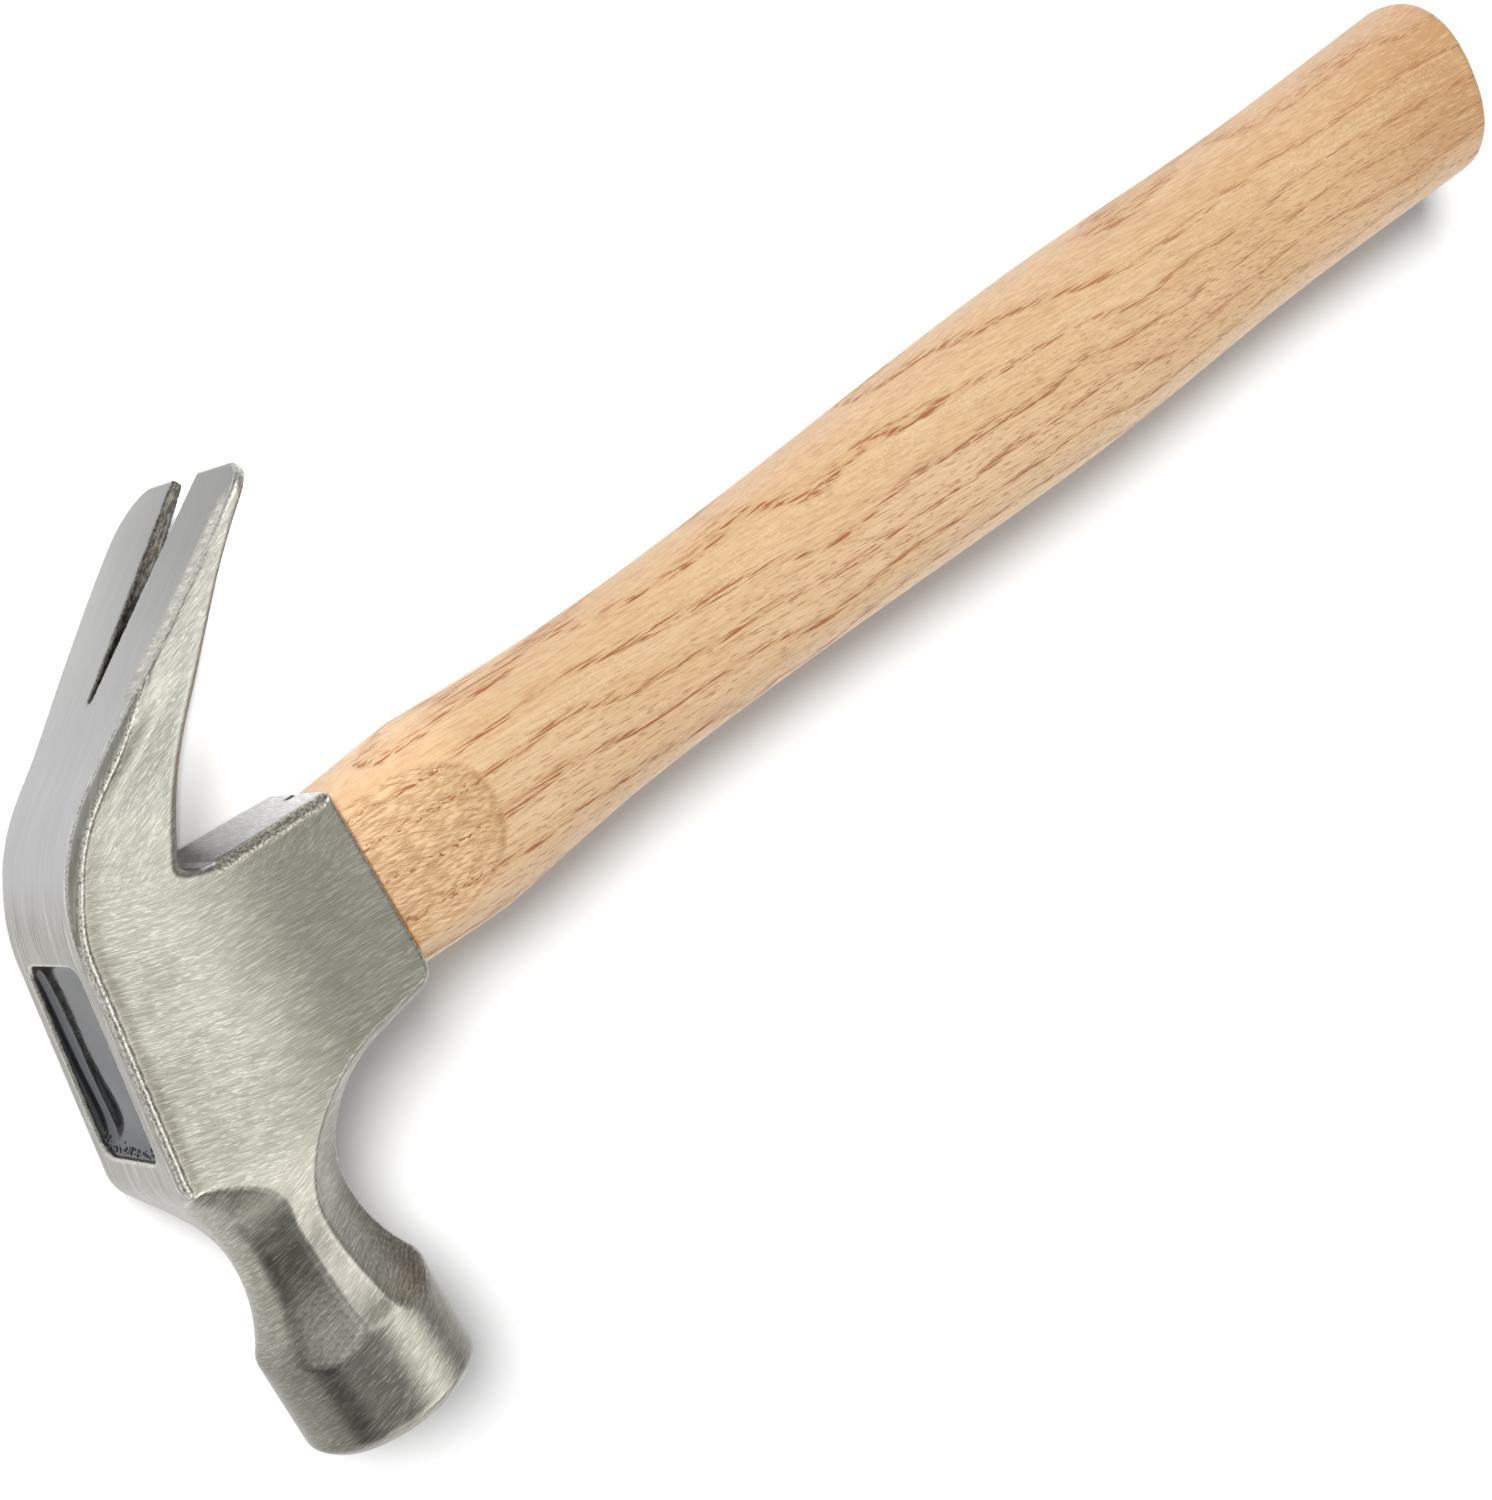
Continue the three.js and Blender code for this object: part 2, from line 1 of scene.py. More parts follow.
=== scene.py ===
# %% [markdown]
# # A curved claw hammer
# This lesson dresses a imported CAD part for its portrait. The CAD model gives six solids in a
# fixed place. Each cell below makes one piece or one finish that stands for a solid, in the same
# frame: metres, X along the handle to the butt, Y to the claw, Z out of the upper cheek.

# %% Load the frame
import math

import bmesh
import bpy
import numpy as np
from mathutils import Matrix, Vector


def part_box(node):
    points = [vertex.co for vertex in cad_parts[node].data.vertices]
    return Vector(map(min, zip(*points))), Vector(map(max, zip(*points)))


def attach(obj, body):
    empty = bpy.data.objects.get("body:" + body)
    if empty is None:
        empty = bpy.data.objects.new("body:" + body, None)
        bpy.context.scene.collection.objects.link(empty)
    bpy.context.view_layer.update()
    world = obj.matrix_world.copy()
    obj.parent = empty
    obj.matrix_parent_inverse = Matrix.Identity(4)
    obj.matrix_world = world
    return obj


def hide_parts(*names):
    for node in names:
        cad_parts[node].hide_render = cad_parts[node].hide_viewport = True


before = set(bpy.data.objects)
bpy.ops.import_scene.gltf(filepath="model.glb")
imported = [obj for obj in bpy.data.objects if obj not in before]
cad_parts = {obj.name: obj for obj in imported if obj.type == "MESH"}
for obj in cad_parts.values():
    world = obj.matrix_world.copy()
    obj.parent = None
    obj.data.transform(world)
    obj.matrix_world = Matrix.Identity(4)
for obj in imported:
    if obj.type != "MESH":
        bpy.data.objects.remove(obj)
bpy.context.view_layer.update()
print("CAD nodes:", ", ".join(sorted(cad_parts)))

# %% [markdown]
# A maker draws this hammer from the spot where the handle meets the head, in millimetres. The
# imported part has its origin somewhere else, under the middle of its box. So the shapes are worked
# out in the maker's own millimetres, and one shift, measured from the CAD boxes, moves the
# finished points into the frame. The objects themselves then stay at the origin, unturned.

# %% From the maker's millimetres to the frame
HANDLE_LENGTH = 279.0
FACE_REACH = 61.5

_, handle_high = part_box("handle")
head_low, head_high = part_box("hammer_head")
SHIFT = np.array([
    1000 * handle_high.x - HANDLE_LENGTH,
    1000 * head_low.y + FACE_REACH,
    500 * (head_low.z + head_high.z),
])


def placed(name, data):
    """A new object in the scene."""
    made = bpy.data.objects.new(name, data)
    bpy.context.scene.collection.objects.link(made)
    return made


def piece_from(name, points, faces):
    """A mesh object from points in the maker's millimetres."""
    mesh = bpy.data.meshes.new(name)
    mesh.from_pydata(((points + SHIFT) / 1000).tolist(), [], faces)
    mesh.polygons.foreach_set("use_smooth", [True] * len(mesh.polygons))
    mesh.update()
    return placed(name, mesh)


def paint(piece, name, values):
    """Store one number for each point, for a material to read."""
    layer = piece.data.attributes.new(name, "FLOAT", "POINT")
    layer.data.foreach_set("value", np.asarray(values, np.float32))


print("shift in mm:", np.round(SHIFT, 3))

# %% [markdown]
# ## Curves for the head
# The head is a drop forging. Seen from the side it has one outline: claw, bend, the sloping top
# with the eye, neck, poll and boss. The outline could be traced by hand as a Bezier curve object.
# Here it is worked out from the same few sizes as the CAD part, so both keep the same profile.

# %% Curve helpers
def lerp(a, b, t):
    return a + (b - a) * t


def ease(low, high, value):
    """0 below low, 1 above high, and a soft step between."""
    t = np.clip((value - low) / (high - low), 0, 1)
    return t * t * (3 - 2 * t)


def straight(start, end, count):
    t = np.linspace(0, 1, count)[:, None]
    return lerp(np.array(start, float), np.array(end, float), t)


def bezier(controls, count):
    """A Bezier curve of any degree, by blending its control points again and again."""
    t = np.linspace(0, 1, count)[:, None, None]
    rows = np.repeat(np.array(controls, float)[None], count, axis=0)
    while rows.shape[1] > 1:
        rows = lerp(rows[:, :-1], rows[:, 1:], t)
    return rows[:, 0]


def through(points, steps):
    """A Catmull-Rom curve through its points."""
    p = np.array(points, float)
    p = np.vstack([p[:1], p, p[-1:]])
    t = np.linspace(0, 1, steps, endpoint=False)[:, None]
    spans = []
    for a, b, c, d in zip(p, p[1:], p[2:], p[3:]):
        spans.append(0.5 * (2 * b + (c - a) * t + (2 * a - 5 * b + 4 * c - d) * t**2
                            + (3 * b - a - 3 * c + d) * t**3))
    return np.vstack([*spans, p[-1:]])


# %% Sizes of the head
HEAD_HEIGHT = 43.6
TOP_SLOPE = math.tan(math.radians(9.4))
BOSS_REACH = 14.9
CHEEK_REACH = 14.4
NECK_REACH = 32.0
NECK_HALF = 8.7
NECK_FLARE = 26.3
FACET_ACROSS = 5.1
FACET_LOWER = 7.2
SIDE_ABOVE_AXIS = 2.4
POLL_AXIS = 11.1 - HEAD_HEIGHT
POLL_RADIUS = 12.8
FACE_RADIUS = 11.1
FACE_BEVEL = 1.8
CLAW_LENGTH = 57.8
CLAW_BEND = 27.0
SLOT_LENGTH = 33.6

claw_angle = math.radians(33.4)
ALONG = np.array([math.cos(claw_angle), math.sin(claw_angle)])
SQUARE = np.array([ALONG[1], -ALONG[0]])


def top_at(y):
    return TOP_SLOPE * y - HEAD_HEIGHT


def flare_at(reach):
    """Half of the neck's width across flats where it opens along an arc into the poll."""
    run = np.clip(reach - NECK_REACH, 0, 18)
    return NECK_HALF + NECK_FLARE - np.sqrt(NECK_FLARE**2 - run**2)


# %% [markdown]
# Every point of the outline also carries the bevel that the forging has there: how far the bevel
# reaches in along the profile and how far across the thickness. On the neck these bevels grow
# until they are the diagonal facets of an octagon. Two more numbers say how raw the bevel is, and
# how thick the bead of flash is that the forging dies squeezed out along its lower border.

# %% Claw, bend and top
outline, bevels = [], []


def run(points, reach_in, reach_across, raw=0.0, bead=0.0):
    """Add a stretch of the outline with its bevel, given as numbers or rows along it."""
    count = len(points)
    row = [np.broadcast_to(np.asarray(v, float), count) for v in (reach_in, reach_across, raw, bead)]
    outline.append(points)
    bevels.append(np.stack(row, axis=1))


top_direction = np.array([TOP_SLOPE, 1.0]) / math.hypot(TOP_SLOPE, 1.0)
turn = math.acos(float(ALONG @ top_direction))
tangent = CLAW_BEND * math.tan(turn / 2)
bend_end = np.array([top_at(BOSS_REACH), BOSS_REACH])
bend_corner = bend_end + tangent * top_direction
bend_start = bend_corner + tangent * ALONG
TIP = bend_corner + CLAW_LENGTH * ALONG

blade = straight(TIP, bend_start, 110)
back = (TIP - blade) @ ALONG
forge = ease(SLOT_LENGTH - 7, SLOT_LENGTH + 8, back)
BEAD = 0.52
run(blade, lerp(0.3, 1.9, forge), lerp(0.3, 0.9, forge), 0.0, BEAD * lerp(0, 0.75, forge))

centre = bend_end + CLAW_BEND * np.array([top_direction[1], -top_direction[0]])
from_angle = math.atan2(*(bend_start - centre)[::-1])
swing = np.linspace(0, 1, 60)[:, None]
angles = from_angle + swing * turn
bend = centre + CLAW_BEND * np.hstack([np.cos(angles), np.sin(angles)])
calm = ease(0.45, 1.0, swing[:, 0])
run(bend, lerp(1.9, 0.9, calm), lerp(0.9, 0.75, calm), 0.0, BEAD * lerp(0.75, 1, calm))

run(straight(bend_end, [top_at(-CHEEK_REACH), -CHEEK_REACH], 60), 0.9, 0.75, 0.0, BEAD)

# %% Neck, poll and boss
neck_top = bezier([[CHEEK_REACH, top_at(-CHEEK_REACH)], [19.4, top_at(-19.4)],
                   [23.0, POLL_AXIS - NECK_HALF], [NECK_REACH, POLL_AXIS - NECK_HALF]], 70)
reach = neck_top[:, 0]
hollow_at = [14.4, 17.3, 18.0, 20.0, 22.0, 23.6, 25.2, 26.7, 28.0, 30.0]
hollow_in = [0.9, 0.9, 2.3, 3.9, 5.1, 6.2, 7.1, 7.5, 7.2, 6.3]
across_at = [14.4, 17.2, 17.6, 18.5, 19.8, 21, 22.4, 24.2, 26, 28.7]
hollow_across = [0.75, 1.0, 1.4, 2.5, 3.2, 3.8, 4.2, 4.7, 5.0, 5.1]
run(np.stack([neck_top[:, 1], -reach], axis=1), np.interp(reach, hollow_at, hollow_in),
    np.interp(reach, across_at, hollow_across), 0.0, BEAD * (1 - ease(16.4, 17.6, reach)))

reach = np.linspace(NECK_REACH, FACE_REACH + 25, 90)
half = flare_at(reach)
across = FACET_ACROSS * half / NECK_HALF
lower = FACET_LOWER * half / NECK_HALF
run(np.stack([POLL_AXIS - half, -reach], axis=1), half - SIDE_ABOVE_AXIS, across)
run(np.stack([POLL_AXIS + half, -reach], axis=1)[::-1], lower[::-1], across[::-1])

fillet = bezier([[NECK_REACH, POLL_AXIS + NECK_HALF], [21.0, POLL_AXIS + NECK_HALF],
                 [16.935, -18.5], [16.0, -10.0]], 60)
growth = ease(CHEEK_REACH, NECK_REACH, fillet[:, 0])
run(np.stack([fillet[:, 1], -fillet[:, 0]], axis=1), lerp(1.2, FACET_LOWER, growth),
    lerp(1.2, FACET_ACROSS, growth))
run(straight([-10.0, -16.0], [-3.0, -15.23], 20), 1.2, 1.2)
corner = bezier([[-3.0, -15.23], [0.0, -14.9], [0.0, -11.9]], 16)
run(corner, np.linspace(1.2, 0.35, 16), np.linspace(1.2, 0.35, 16))
run(straight([0.0, -11.9], [0.0, BOSS_REACH - 1.2], 60), 0.35, 0.35)
run(straight([0.0, BOSS_REACH], [-19.0, BOSS_REACH + 1.2], 50), 1.2, 1.1, 1.0)


# %% Throat
def inside_claw(from_tip, depth):
    return TIP - from_tip * ALONG + depth * SQUARE


def claw_place(x, y):
    """How far a point lies from the claw's tip, and how deep under the claw's outer face."""
    return ((TIP[0] - x) * ALONG[0] + (TIP[1] - y) * ALONG[1],
            (x - TIP[0]) * SQUARE[0] + (y - TIP[1]) * SQUARE[1])


throat = through([
    [-19.0, BOSS_REACH + 1.2], [-22.8, BOSS_REACH + 2.4], inside_claw(CLAW_LENGTH - 10.6, 14.7),
    inside_claw(CLAW_LENGTH - 22.6, 9.6), inside_claw(20.0, 4.8), inside_claw(10.5, 2.5),
    inside_claw(0.0, 1.6)], 26)
soft = np.interp(np.arange(len(throat)), [0, 20, 40, 90, 130, 156], [1.0, 0.8, 1.4, 0.7, 0.35, 0.25])
run(throat, soft, 0.8 * soft)

outline, bevels = np.vstack(outline), np.vstack(bevels)
print(len(outline), "outline points, claw tip at", np.round(TIP, 2))

# %% [markdown]
# ## The head as a field
# A smooth forging with soft edges is hard to build from faces one by one. A signed distance field
# is a number for each point of space: below zero inside the steel, above zero outside. Fields
# combine easily, because the larger of two fields is what both shapes share, and a rounded maximum
# gives the edge between them a small radius. First the outline becomes a field in the side view.

# %% Distance to the outline, on a fine grid
CELL = 0.3
GRID_LOW = np.array([-50.0, -66.0])
grid_count = (np.array([15.0, 64.0]) - GRID_LOW) / CELL
grid_x = GRID_LOW[0] + CELL * np.arange(int(grid_count[0]))
grid_y = GRID_LOW[1] + CELL * np.arange(int(grid_count[1]))

start, end = outline, np.roll(outline, -1, axis=0)
edge = end - start
length2 = np.maximum((edge**2).sum(1), 1e-12)
side_field = np.zeros((len(grid_x), len(grid_y), 5))
for i, x in enumerate(grid_x):
    spot = np.stack([np.full_like(grid_y, x), grid_y], axis=1)[:, None]
    t = np.clip(((spot - start) * edge).sum(2) / length2, 0, 1)
    gap2 = ((spot - start - t[..., None] * edge) ** 2).sum(2)
    near = gap2.argmin(1)
    crosses = (start[:, 1] > grid_y[:, None]) != (end[:, 1] > grid_y[:, None])
    rise = np.where(edge[:, 1] == 0, 1e-12, edge[:, 1])
    at = start[:, 0] + edge[:, 0] * (grid_y[:, None] - start[:, 1]) / rise
    inside = (crosses & (at > x)).sum(1) % 2 == 1
    gap = np.sqrt(gap2[np.arange(len(near)), near])
    side_field[i, :, 0] = np.where(inside, -gap, gap)
    side_field[i, :, 1:] = bevels[near]


def sample(x, y):
    """The side field at any points, with a cubic blend over four cells each way."""
    out = 0.0
    u, v = (x - GRID_LOW[0]) / CELL, (y - GRID_LOW[1]) / CELL
    i = np.clip(np.floor(u).astype(int), 1, len(grid_x) - 3)
    j = np.clip(np.floor(v).astype(int), 1, len(grid_y) - 3)
    weights = []
    for t in (u - i, v - j):
        s = 1 - t
        weights.append([s**3 / 6, (4 - 6 * t**2 + 3 * t**3) / 6, (4 - 6 * s**2 + 3 * s**3) / 6, t**3 / 6])
    for a in range(4):
        for b in range(4):
            weight = weights[0][a] * weights[1][b]
            out = out + weight[..., None] * side_field[i + a - 1, j + b - 1]
    return out


print("side field", side_field.shape[:2], "deepest point", side_field[..., 0].min().round(2))

# %% [markdown]
# The second ingredient is the thickness. The cheeks lean in towards the handle in two planes that
# blend softly, the claw spreads to its tips, and the neck draws in to the octagon. The eye, the
# nail slot and the round poll are fields too. Taking the slot away is a maximum with its negative.

# %% Thickness
CHEEK_HALF = 10.35
CHEEK_BREAK = -22.0
BREAK_SOFT = 4.0
LEAN, MORE_LEAN = 0.056, 0.016
CLAW_LEAN = 0.16


def cheek_half(x):
    """Half of the head's thickness at the cheek: two leaning planes with a soft border."""
    below = x - CHEEK_BREAK
    bent = np.sqrt(below**2 + BREAK_SOFT**2)
    return CHEEK_HALF - LEAN * below - MORE_LEAN * (bent - BREAK_SOFT)


SPREAD_AT = [9, 14, 20, 26, 33, 44, 52]
SPREAD = [17.2, 16.8, 15.9, 14.8, 13.6, 12.0, 11.6]
spread_curve = np.poly1d(np.polyfit(SPREAD_AT, SPREAD, 4))


def claw_half(from_tip, depth, far):
    """Half of the claw's width. Its outer tip corners are rounded, the far one more."""
    spread = np.where(from_tip > 52, 11.55, spread_curve(np.clip(from_tip, 9, 52)))
    long, wide = np.where(far, 8.0, 5.0), np.where(far, 7.5, 4.2)
    short = np.clip(1 - from_tip / long, 0, 1)
    return spread - wide * (1 - np.sqrt(1 - short**2)) - CLAW_LEAN * depth


def half_thickness(x, y, far):
    from_tip, depth = claw_place(x, y)
    cheek = cheek_half(x)
    claw = lerp(claw_half(from_tip, depth, far), cheek, ease(26, 50, from_tip) * ease(1.5, 5, depth))
    on_boss = (x > -21) & (y < 17.5)
    half = np.where((y > 13.0) & ~on_boss, claw, cheek)
    neck = lerp(half, NECK_HALF, ease(CHEEK_REACH, NECK_REACH, -y))
    return np.where(-y > NECK_REACH, flare_at(-y), neck)


def soft_max(a, b, radius):
    """The larger of two fields, with a rounded edge between them."""
    mix = np.maximum(radius - np.abs(a - b), 0) / radius
    return np.maximum(a, b) + mix**2 * radius / 4


# %% Eye and nail slot
EYE_CORNER = 2.2
EYE_TAPER = 15.6
EYE_TOP, EYE_WAIST = (1.9, 13.7, 8.1), (0.0, 11.7, 6.6)
SLOT_MOUTH, SLOT_ROOT = 3.6, 0.4


def eye_sizes(x):
    """The eye's middle and its half length and width. It widens from its waist to the top."""
    down = np.clip((x + HEAD_HEIGHT) / EYE_TAPER, 0, 1)
    return [lerp(top, waist, down) for top, waist in zip(EYE_TOP, EYE_WAIST)]


def eye_field(x, y, z):
    middle, long, wide = eye_sizes(x)
    across, depth = np.abs(y - middle) - long + EYE_CORNER, np.abs(z) - wide + EYE_CORNER
    outside = np.hypot(np.maximum(across, 0), np.maximum(depth, 0))
    return outside + np.minimum(np.maximum(across, depth), 0) - EYE_CORNER


def slot_field(x, y, z):
    from_tip = claw_place(x, y)[0]
    half = lerp(SLOT_MOUTH, SLOT_ROOT, from_tip / SLOT_LENGTH)
    past = np.maximum(from_tip - SLOT_LENGTH + 0.8, 0)
    return np.abs(z) - half + past


# %% The whole head
def head_field(x, y, z, parts=False):
    """The field of the head, or the fields that it is made of."""
    layers = sample(x, y)
    profile, bead = layers[..., 0], layers[..., 4]
    reach_in, across = np.maximum(layers[..., 1], 0.2), np.maximum(layers[..., 2], 0.2)
    border = profile + reach_in
    valley = bead / BEAD * np.exp(-(((border + 0.9) / 1.1) ** 2))
    cheek = np.abs(z) - half_thickness(x, y, z < 0) + 0.08 * valley
    bevel = (profile / reach_in + cheek / across + 1) * reach_in * across / np.hypot(reach_in, across)
    round_neck = 0.4 + 2.4 * ease(16.5, 22.0, -y) * (x < POLL_AXIS)
    body = soft_max(soft_max(profile, bevel, round_neck), cheek, 0.4)
    rope = np.where(bead > 0.05, np.hypot(border, cheek + 0.2) - bead, 9.0)
    body = -soft_max(-body, -rope, 0.25)
    free = 2.5 * np.maximum(0, 30 + y)
    radius = np.hypot(x - POLL_AXIS, z)
    bevel_run = POLL_RADIUS - FACE_RADIUS
    face_bevel = (radius - POLL_RADIUS) * FACE_BEVEL - (y + FACE_REACH - FACE_BEVEL) * bevel_run
    face_bevel = face_bevel / math.hypot(FACE_BEVEL, bevel_run)
    poll = soft_max(radius - POLL_RADIUS, face_bevel, 0.5) - free
    poll = soft_max(poll, -y - FACE_REACH + 0.0016 * radius**2, 0.3)
    eye, slot = eye_field(x, y, z), slot_field(x, y, z)
    whole = soft_max(soft_max(soft_max(body, poll, 0.5), -slot, 0.35), -eye, 0.45)
    if parts:
        return {"profile": profile, "cheek": cheek, "bevel": bevel, "rope": rope, "eye": eye,
                "slot": slot, "raw": layers[..., 3], "valley": valley, "bead": bead / BEAD}
    return whole


print("half thickness at the top and the boss:", np.round([cheek_half(-43.6), cheek_half(0.0)], 2))

# %% [markdown]
# ## From field to mesh
# Space is filled with small cells. Each cell that the surface passes through gets one point, in
# the middle of the places where the cell's edges cross zero, and each crossed edge joins its four
# cells with a quad. This is called surface nets. A few rounds then even out the points and pull
# them onto the exact zero of the field, and the field's slope gives clean shading normals.

# %% Surface nets
def edge_ends(block, axis, rest=slice(None)):
    """The values at both ends of each cell edge along one axis."""
    first, second = [rest] * 3, [rest] * 3
    first[axis], second[axis] = slice(0, -1), slice(1, None)
    return block[tuple(first)], block[tuple(second)]


def surface_net(field, low, step):
    inside = field < 0
    shape = np.array(field.shape) - 1
    total, hits = np.zeros((*shape, 3)), np.zeros(shape)
    for axis in range(3):
        others = [k for k in range(3) if k != axis]
        f0, f1 = edge_ends(field, axis)
        crossed = (f0 < 0) != (f1 < 0)
        cut = np.where(crossed, f0 / np.where(crossed, f0 - f1, 1), 0)
        for moves in np.ndindex(2, 2):
            window = [slice(None)] * 3
            for other, move in zip(others, moves):
                window[other] = slice(move, move + shape[other])
            hit = crossed[tuple(window)]
            hits += hit
            total[..., axis] += hit * cut[tuple(window)]
            for other, move in zip(others, moves):
                total[..., other] += hit * move
    used = hits > 0
    number = np.full(shape, -1)
    number[used] = np.arange(used.sum())
    points = low + step * (np.argwhere(used) + total[used] / hits[used][:, None])
    quads = []
    for axis in range(3):
        b, c = (axis + 1) % 3, (axis + 2) % 3
        f0, f1 = edge_ends(inside, axis, slice(1, -1))
        spot = np.argwhere(f0 != f1)
        outward = f0[f0 != f1]
        corners = []
        for db, dc in ((0, 0), (1, 0), (1, 1), (0, 1)):
            cell = spot.copy()
            cell[:, b] += db
            cell[:, c] += dc
            corners.append(number[tuple(cell.T)])
        quad = np.stack(corners, axis=1)
        quad[~outward] = quad[~outward][:, ::-1]
        quads.append(quad)
    return points, np.vstack(quads)


# %% Slope of a field, and points that settle on it
def slope(field, points, step):
    """The field's gradient by central differences."""
    rises = [field(*(points + move).T) - field(*(points - move).T) for move in step * np.eye(3)]
    return np.stack(rises, axis=1) / (2 * step)


def unit(rows):
    return rows / (np.linalg.norm(rows, axis=1, keepdims=True) + 1e-9)


def settle(field, points, quads, rounds):
    """Even out the points along the surface and pull them onto the field's zero."""
    links = np.vstack([quads[:, [k, (k + 1) % 4]] for k in range(4)])
    here, there = np.vstack([links, links[:, ::-1]]).T
    count = np.bincount(here, minlength=len(points))
    for _ in range(rounds):
        total = [np.bincount(here, points[there, axis], len(points)) for axis in range(3)]
        pull = np.stack(total, axis=1) / count[:, None] - points
        normal = unit(slope(field, points, 0.05))
        points = points + 0.5 * (pull - normal * (pull * normal).sum(1, keepdims=True))
        grade = slope(field, points, 0.05)
        push = field(*points.T)[:, None] * grade / ((grade**2).sum(1, keepdims=True) + 1e-6)
        size = np.linalg.norm(push, axis=1, keepdims=True)
        points = points - push * np.minimum(1, 0.3 / np.maximum(size, 1e-9))
    return points


# %% Build the head
STEP = 0.46
low = np.array([-47.4, -63.0, -17.94])
counts = [int(n) for n in (np.array([11.5, 60.0, 18.0]) - low) / STEP + 1]
axes = [low[k] + STEP * np.arange(counts[k]) for k in range(3)]
block = head_field(axes[0][:, None, None], axes[1][None, :, None], axes[2][None, None, :])
points, quads = surface_net(block, low, STEP)
points = settle(head_field, points, quads, 4)
head = piece_from("head", points, quads.tolist())
normals = unit(slope(head_field, points, 0.12))
head.data.normals_split_custom_set_from_vertices(normals.tolist())
print("head:", len(points), "points,", 2 * len(quads), "triangles")

# %% [markdown]
# The grinder and the forge left different skins on the head: raw grain on the bevels beside the
# bend, a smooth outer face on the claw, dark walls in the nail slot. Painting them by hand would
# take an evening. The fields already know which surface each point lies on, so they write masks
# as point attributes, and the steel material reads those. Some masks also carry painted light and
# shade: the groove beside the bead, the line under the cheek's edge, the boss's face towards the
# claw and the claw's inner face.

# %% Masks for the steel
known = head_field(*points.T, parts=True)
x, y, z = points.T
on_bevel = ease(-0.3, -0.08, known["bevel"])
from_tip, depth = claw_place(x, y)
outer = ease(-0.5, -0.15, known["profile"])
on_claw = (depth < 5) | (y < 30)
head_top = (x < -38) * (1 - ease(16, 22, -y))
smooth_face = outer * np.where(y > 14.5, on_claw * (x < -20) + (x >= -20) * (depth < 0.9), head_top)
strip = on_bevel * known["bead"] * (known["cheek"] < -0.1)
# painted highlight: the boss's flat face towards the claw gets a light tone, standing in for a brighter
# reflection
collar = outer * (x > -21) * (np.abs(y - 15.5) < 2.2)
# painted shade: the claw's inner face towards the handle is painted dark, in place of the wood it mirrors; it
# is also made rougher
rough_shaded_throat = outer * (y > 16.2) * (depth > 1.0) * (x > -26)
rope = 1 - ease(0.0, 0.12, known["rope"])
flash = np.maximum(rope, on_bevel * known["raw"])
curve = sum(head_field(*(points + move).T) for move in 0.3 * np.vstack([np.eye(3), -np.eye(3)]))
curve = (curve - 6 * head_field(*points.T)) / 0.09
rubbed = ease(-4.4, -1.6, known["cheek"]) * ease(2, 9, from_tip) * (1 - ease(28, 38, from_tip)) * (z > 0)
# painted shadow: a dark speckled line under the cheek's edge where the neck's hollow begins
lip = np.exp(-(((known["bevel"] - known["cheek"]) / 0.35) ** 2)) * (x < -33) * (known["cheek"] > -0.6)
masks = {
    "raw": flash,
    "ribbon": np.maximum(smooth_face, strip) * (1 - rope) * (1 - rubbed),
    "rubbed": smooth_face * rubbed,
    "strip": strip * (1 - rope) * ease(13.0, 24.0, y),
    "collar": collar,
    "throat": rough_shaded_throat * (1 - collar),
    # painted shade in the shallow groove beside the bead
    "valley": known["valley"] * (1 - rope) * (outer < 0.5),
    "lip": lip * ease(16.6, 17.6, -y) * (1 - ease(20, 24, -y)),
    "slot": 1 - ease(0.12, 0.5, known["slot"]),
    "eye": (1 - ease(0.1, 0.3, known["eye"])) * ease(0.35, 0.8, x - top_at(y)),
    "worn": np.clip(curve * 0.5, 0, 1),
    "ground": ease(17.2, 26.0, -y + 7 * on_bevel),
}
for name, values in masks.items():
    paint(head, name, values)
print("raw share:", round(float((flash > 0.5).mean()), 3))

# %% [markdown]
# ## The handle
# The handle is turned on a copying lathe to rounded sections, then planed on both sides next to
# the head. A loft suits it: rings of points along the grain, each a superellipse whose height and
# thickness come from a smooth curve through eight stations, three of them close together at the
# shoulder to keep it crisp. The planed hollow is a limit on how far the points may stand out, again
# with a soft edge.

# %% Handle sections
def stations(places, values, at):
    """A smooth curve through the stations, as the CAD part has it."""
    places, values = np.array(places), np.array(values, float)
    k = np.clip(np.searchsorted(places, at, side="right"), 1, len(places) - 1)
    before, after = np.where(k == 1, k, k - 2), np.where(k == len(places) - 1, k - 1, k + 1)
    t0, t1 = places[k - 1], places[k]
    wp, wn = 0.5 * (t1 - t0) / (t0 - places[before]), 0.5 * (t1 - t0) / (places[after] - t1)
    p = (at - t0) / (t1 - t0)
    return ((-wp * p**3 + 2 * wp * p**2 - wp * p) * values[before]
            + ((1 + wp) * p**3 + (-1.5 - 2 * wp) * p**2 + (-0.5 + wp) * p + 1) * values[k - 1]
            + ((-1 - wn) * p**3 + (1.5 + wn) * p**2 + 0.5 * p) * values[k]
            + (wn * p**3 - wn * p**2) * values[after])


BUTT_ROUND = 4.0
SECTION = 2.3
AROUND = 168
butt_start = HANDLE_LENGTH - BUTT_ROUND
PLACES = [0, 15.9, 17.5, 19.1, 48.0, HANDLE_LENGTH - 117.5, HANDLE_LENGTH - 60.0, butt_start]
HEIGHTS = [28.6, 30.65, 30.8, 30.62, 27.5, 33.7, 32.6, 35.0]
THICKS = [20.2, 20.55, 20.6, 20.6, 19.8, 24.0, 23.4, 26.0]
angle = 2 * np.pi * np.arange(AROUND) / AROUND


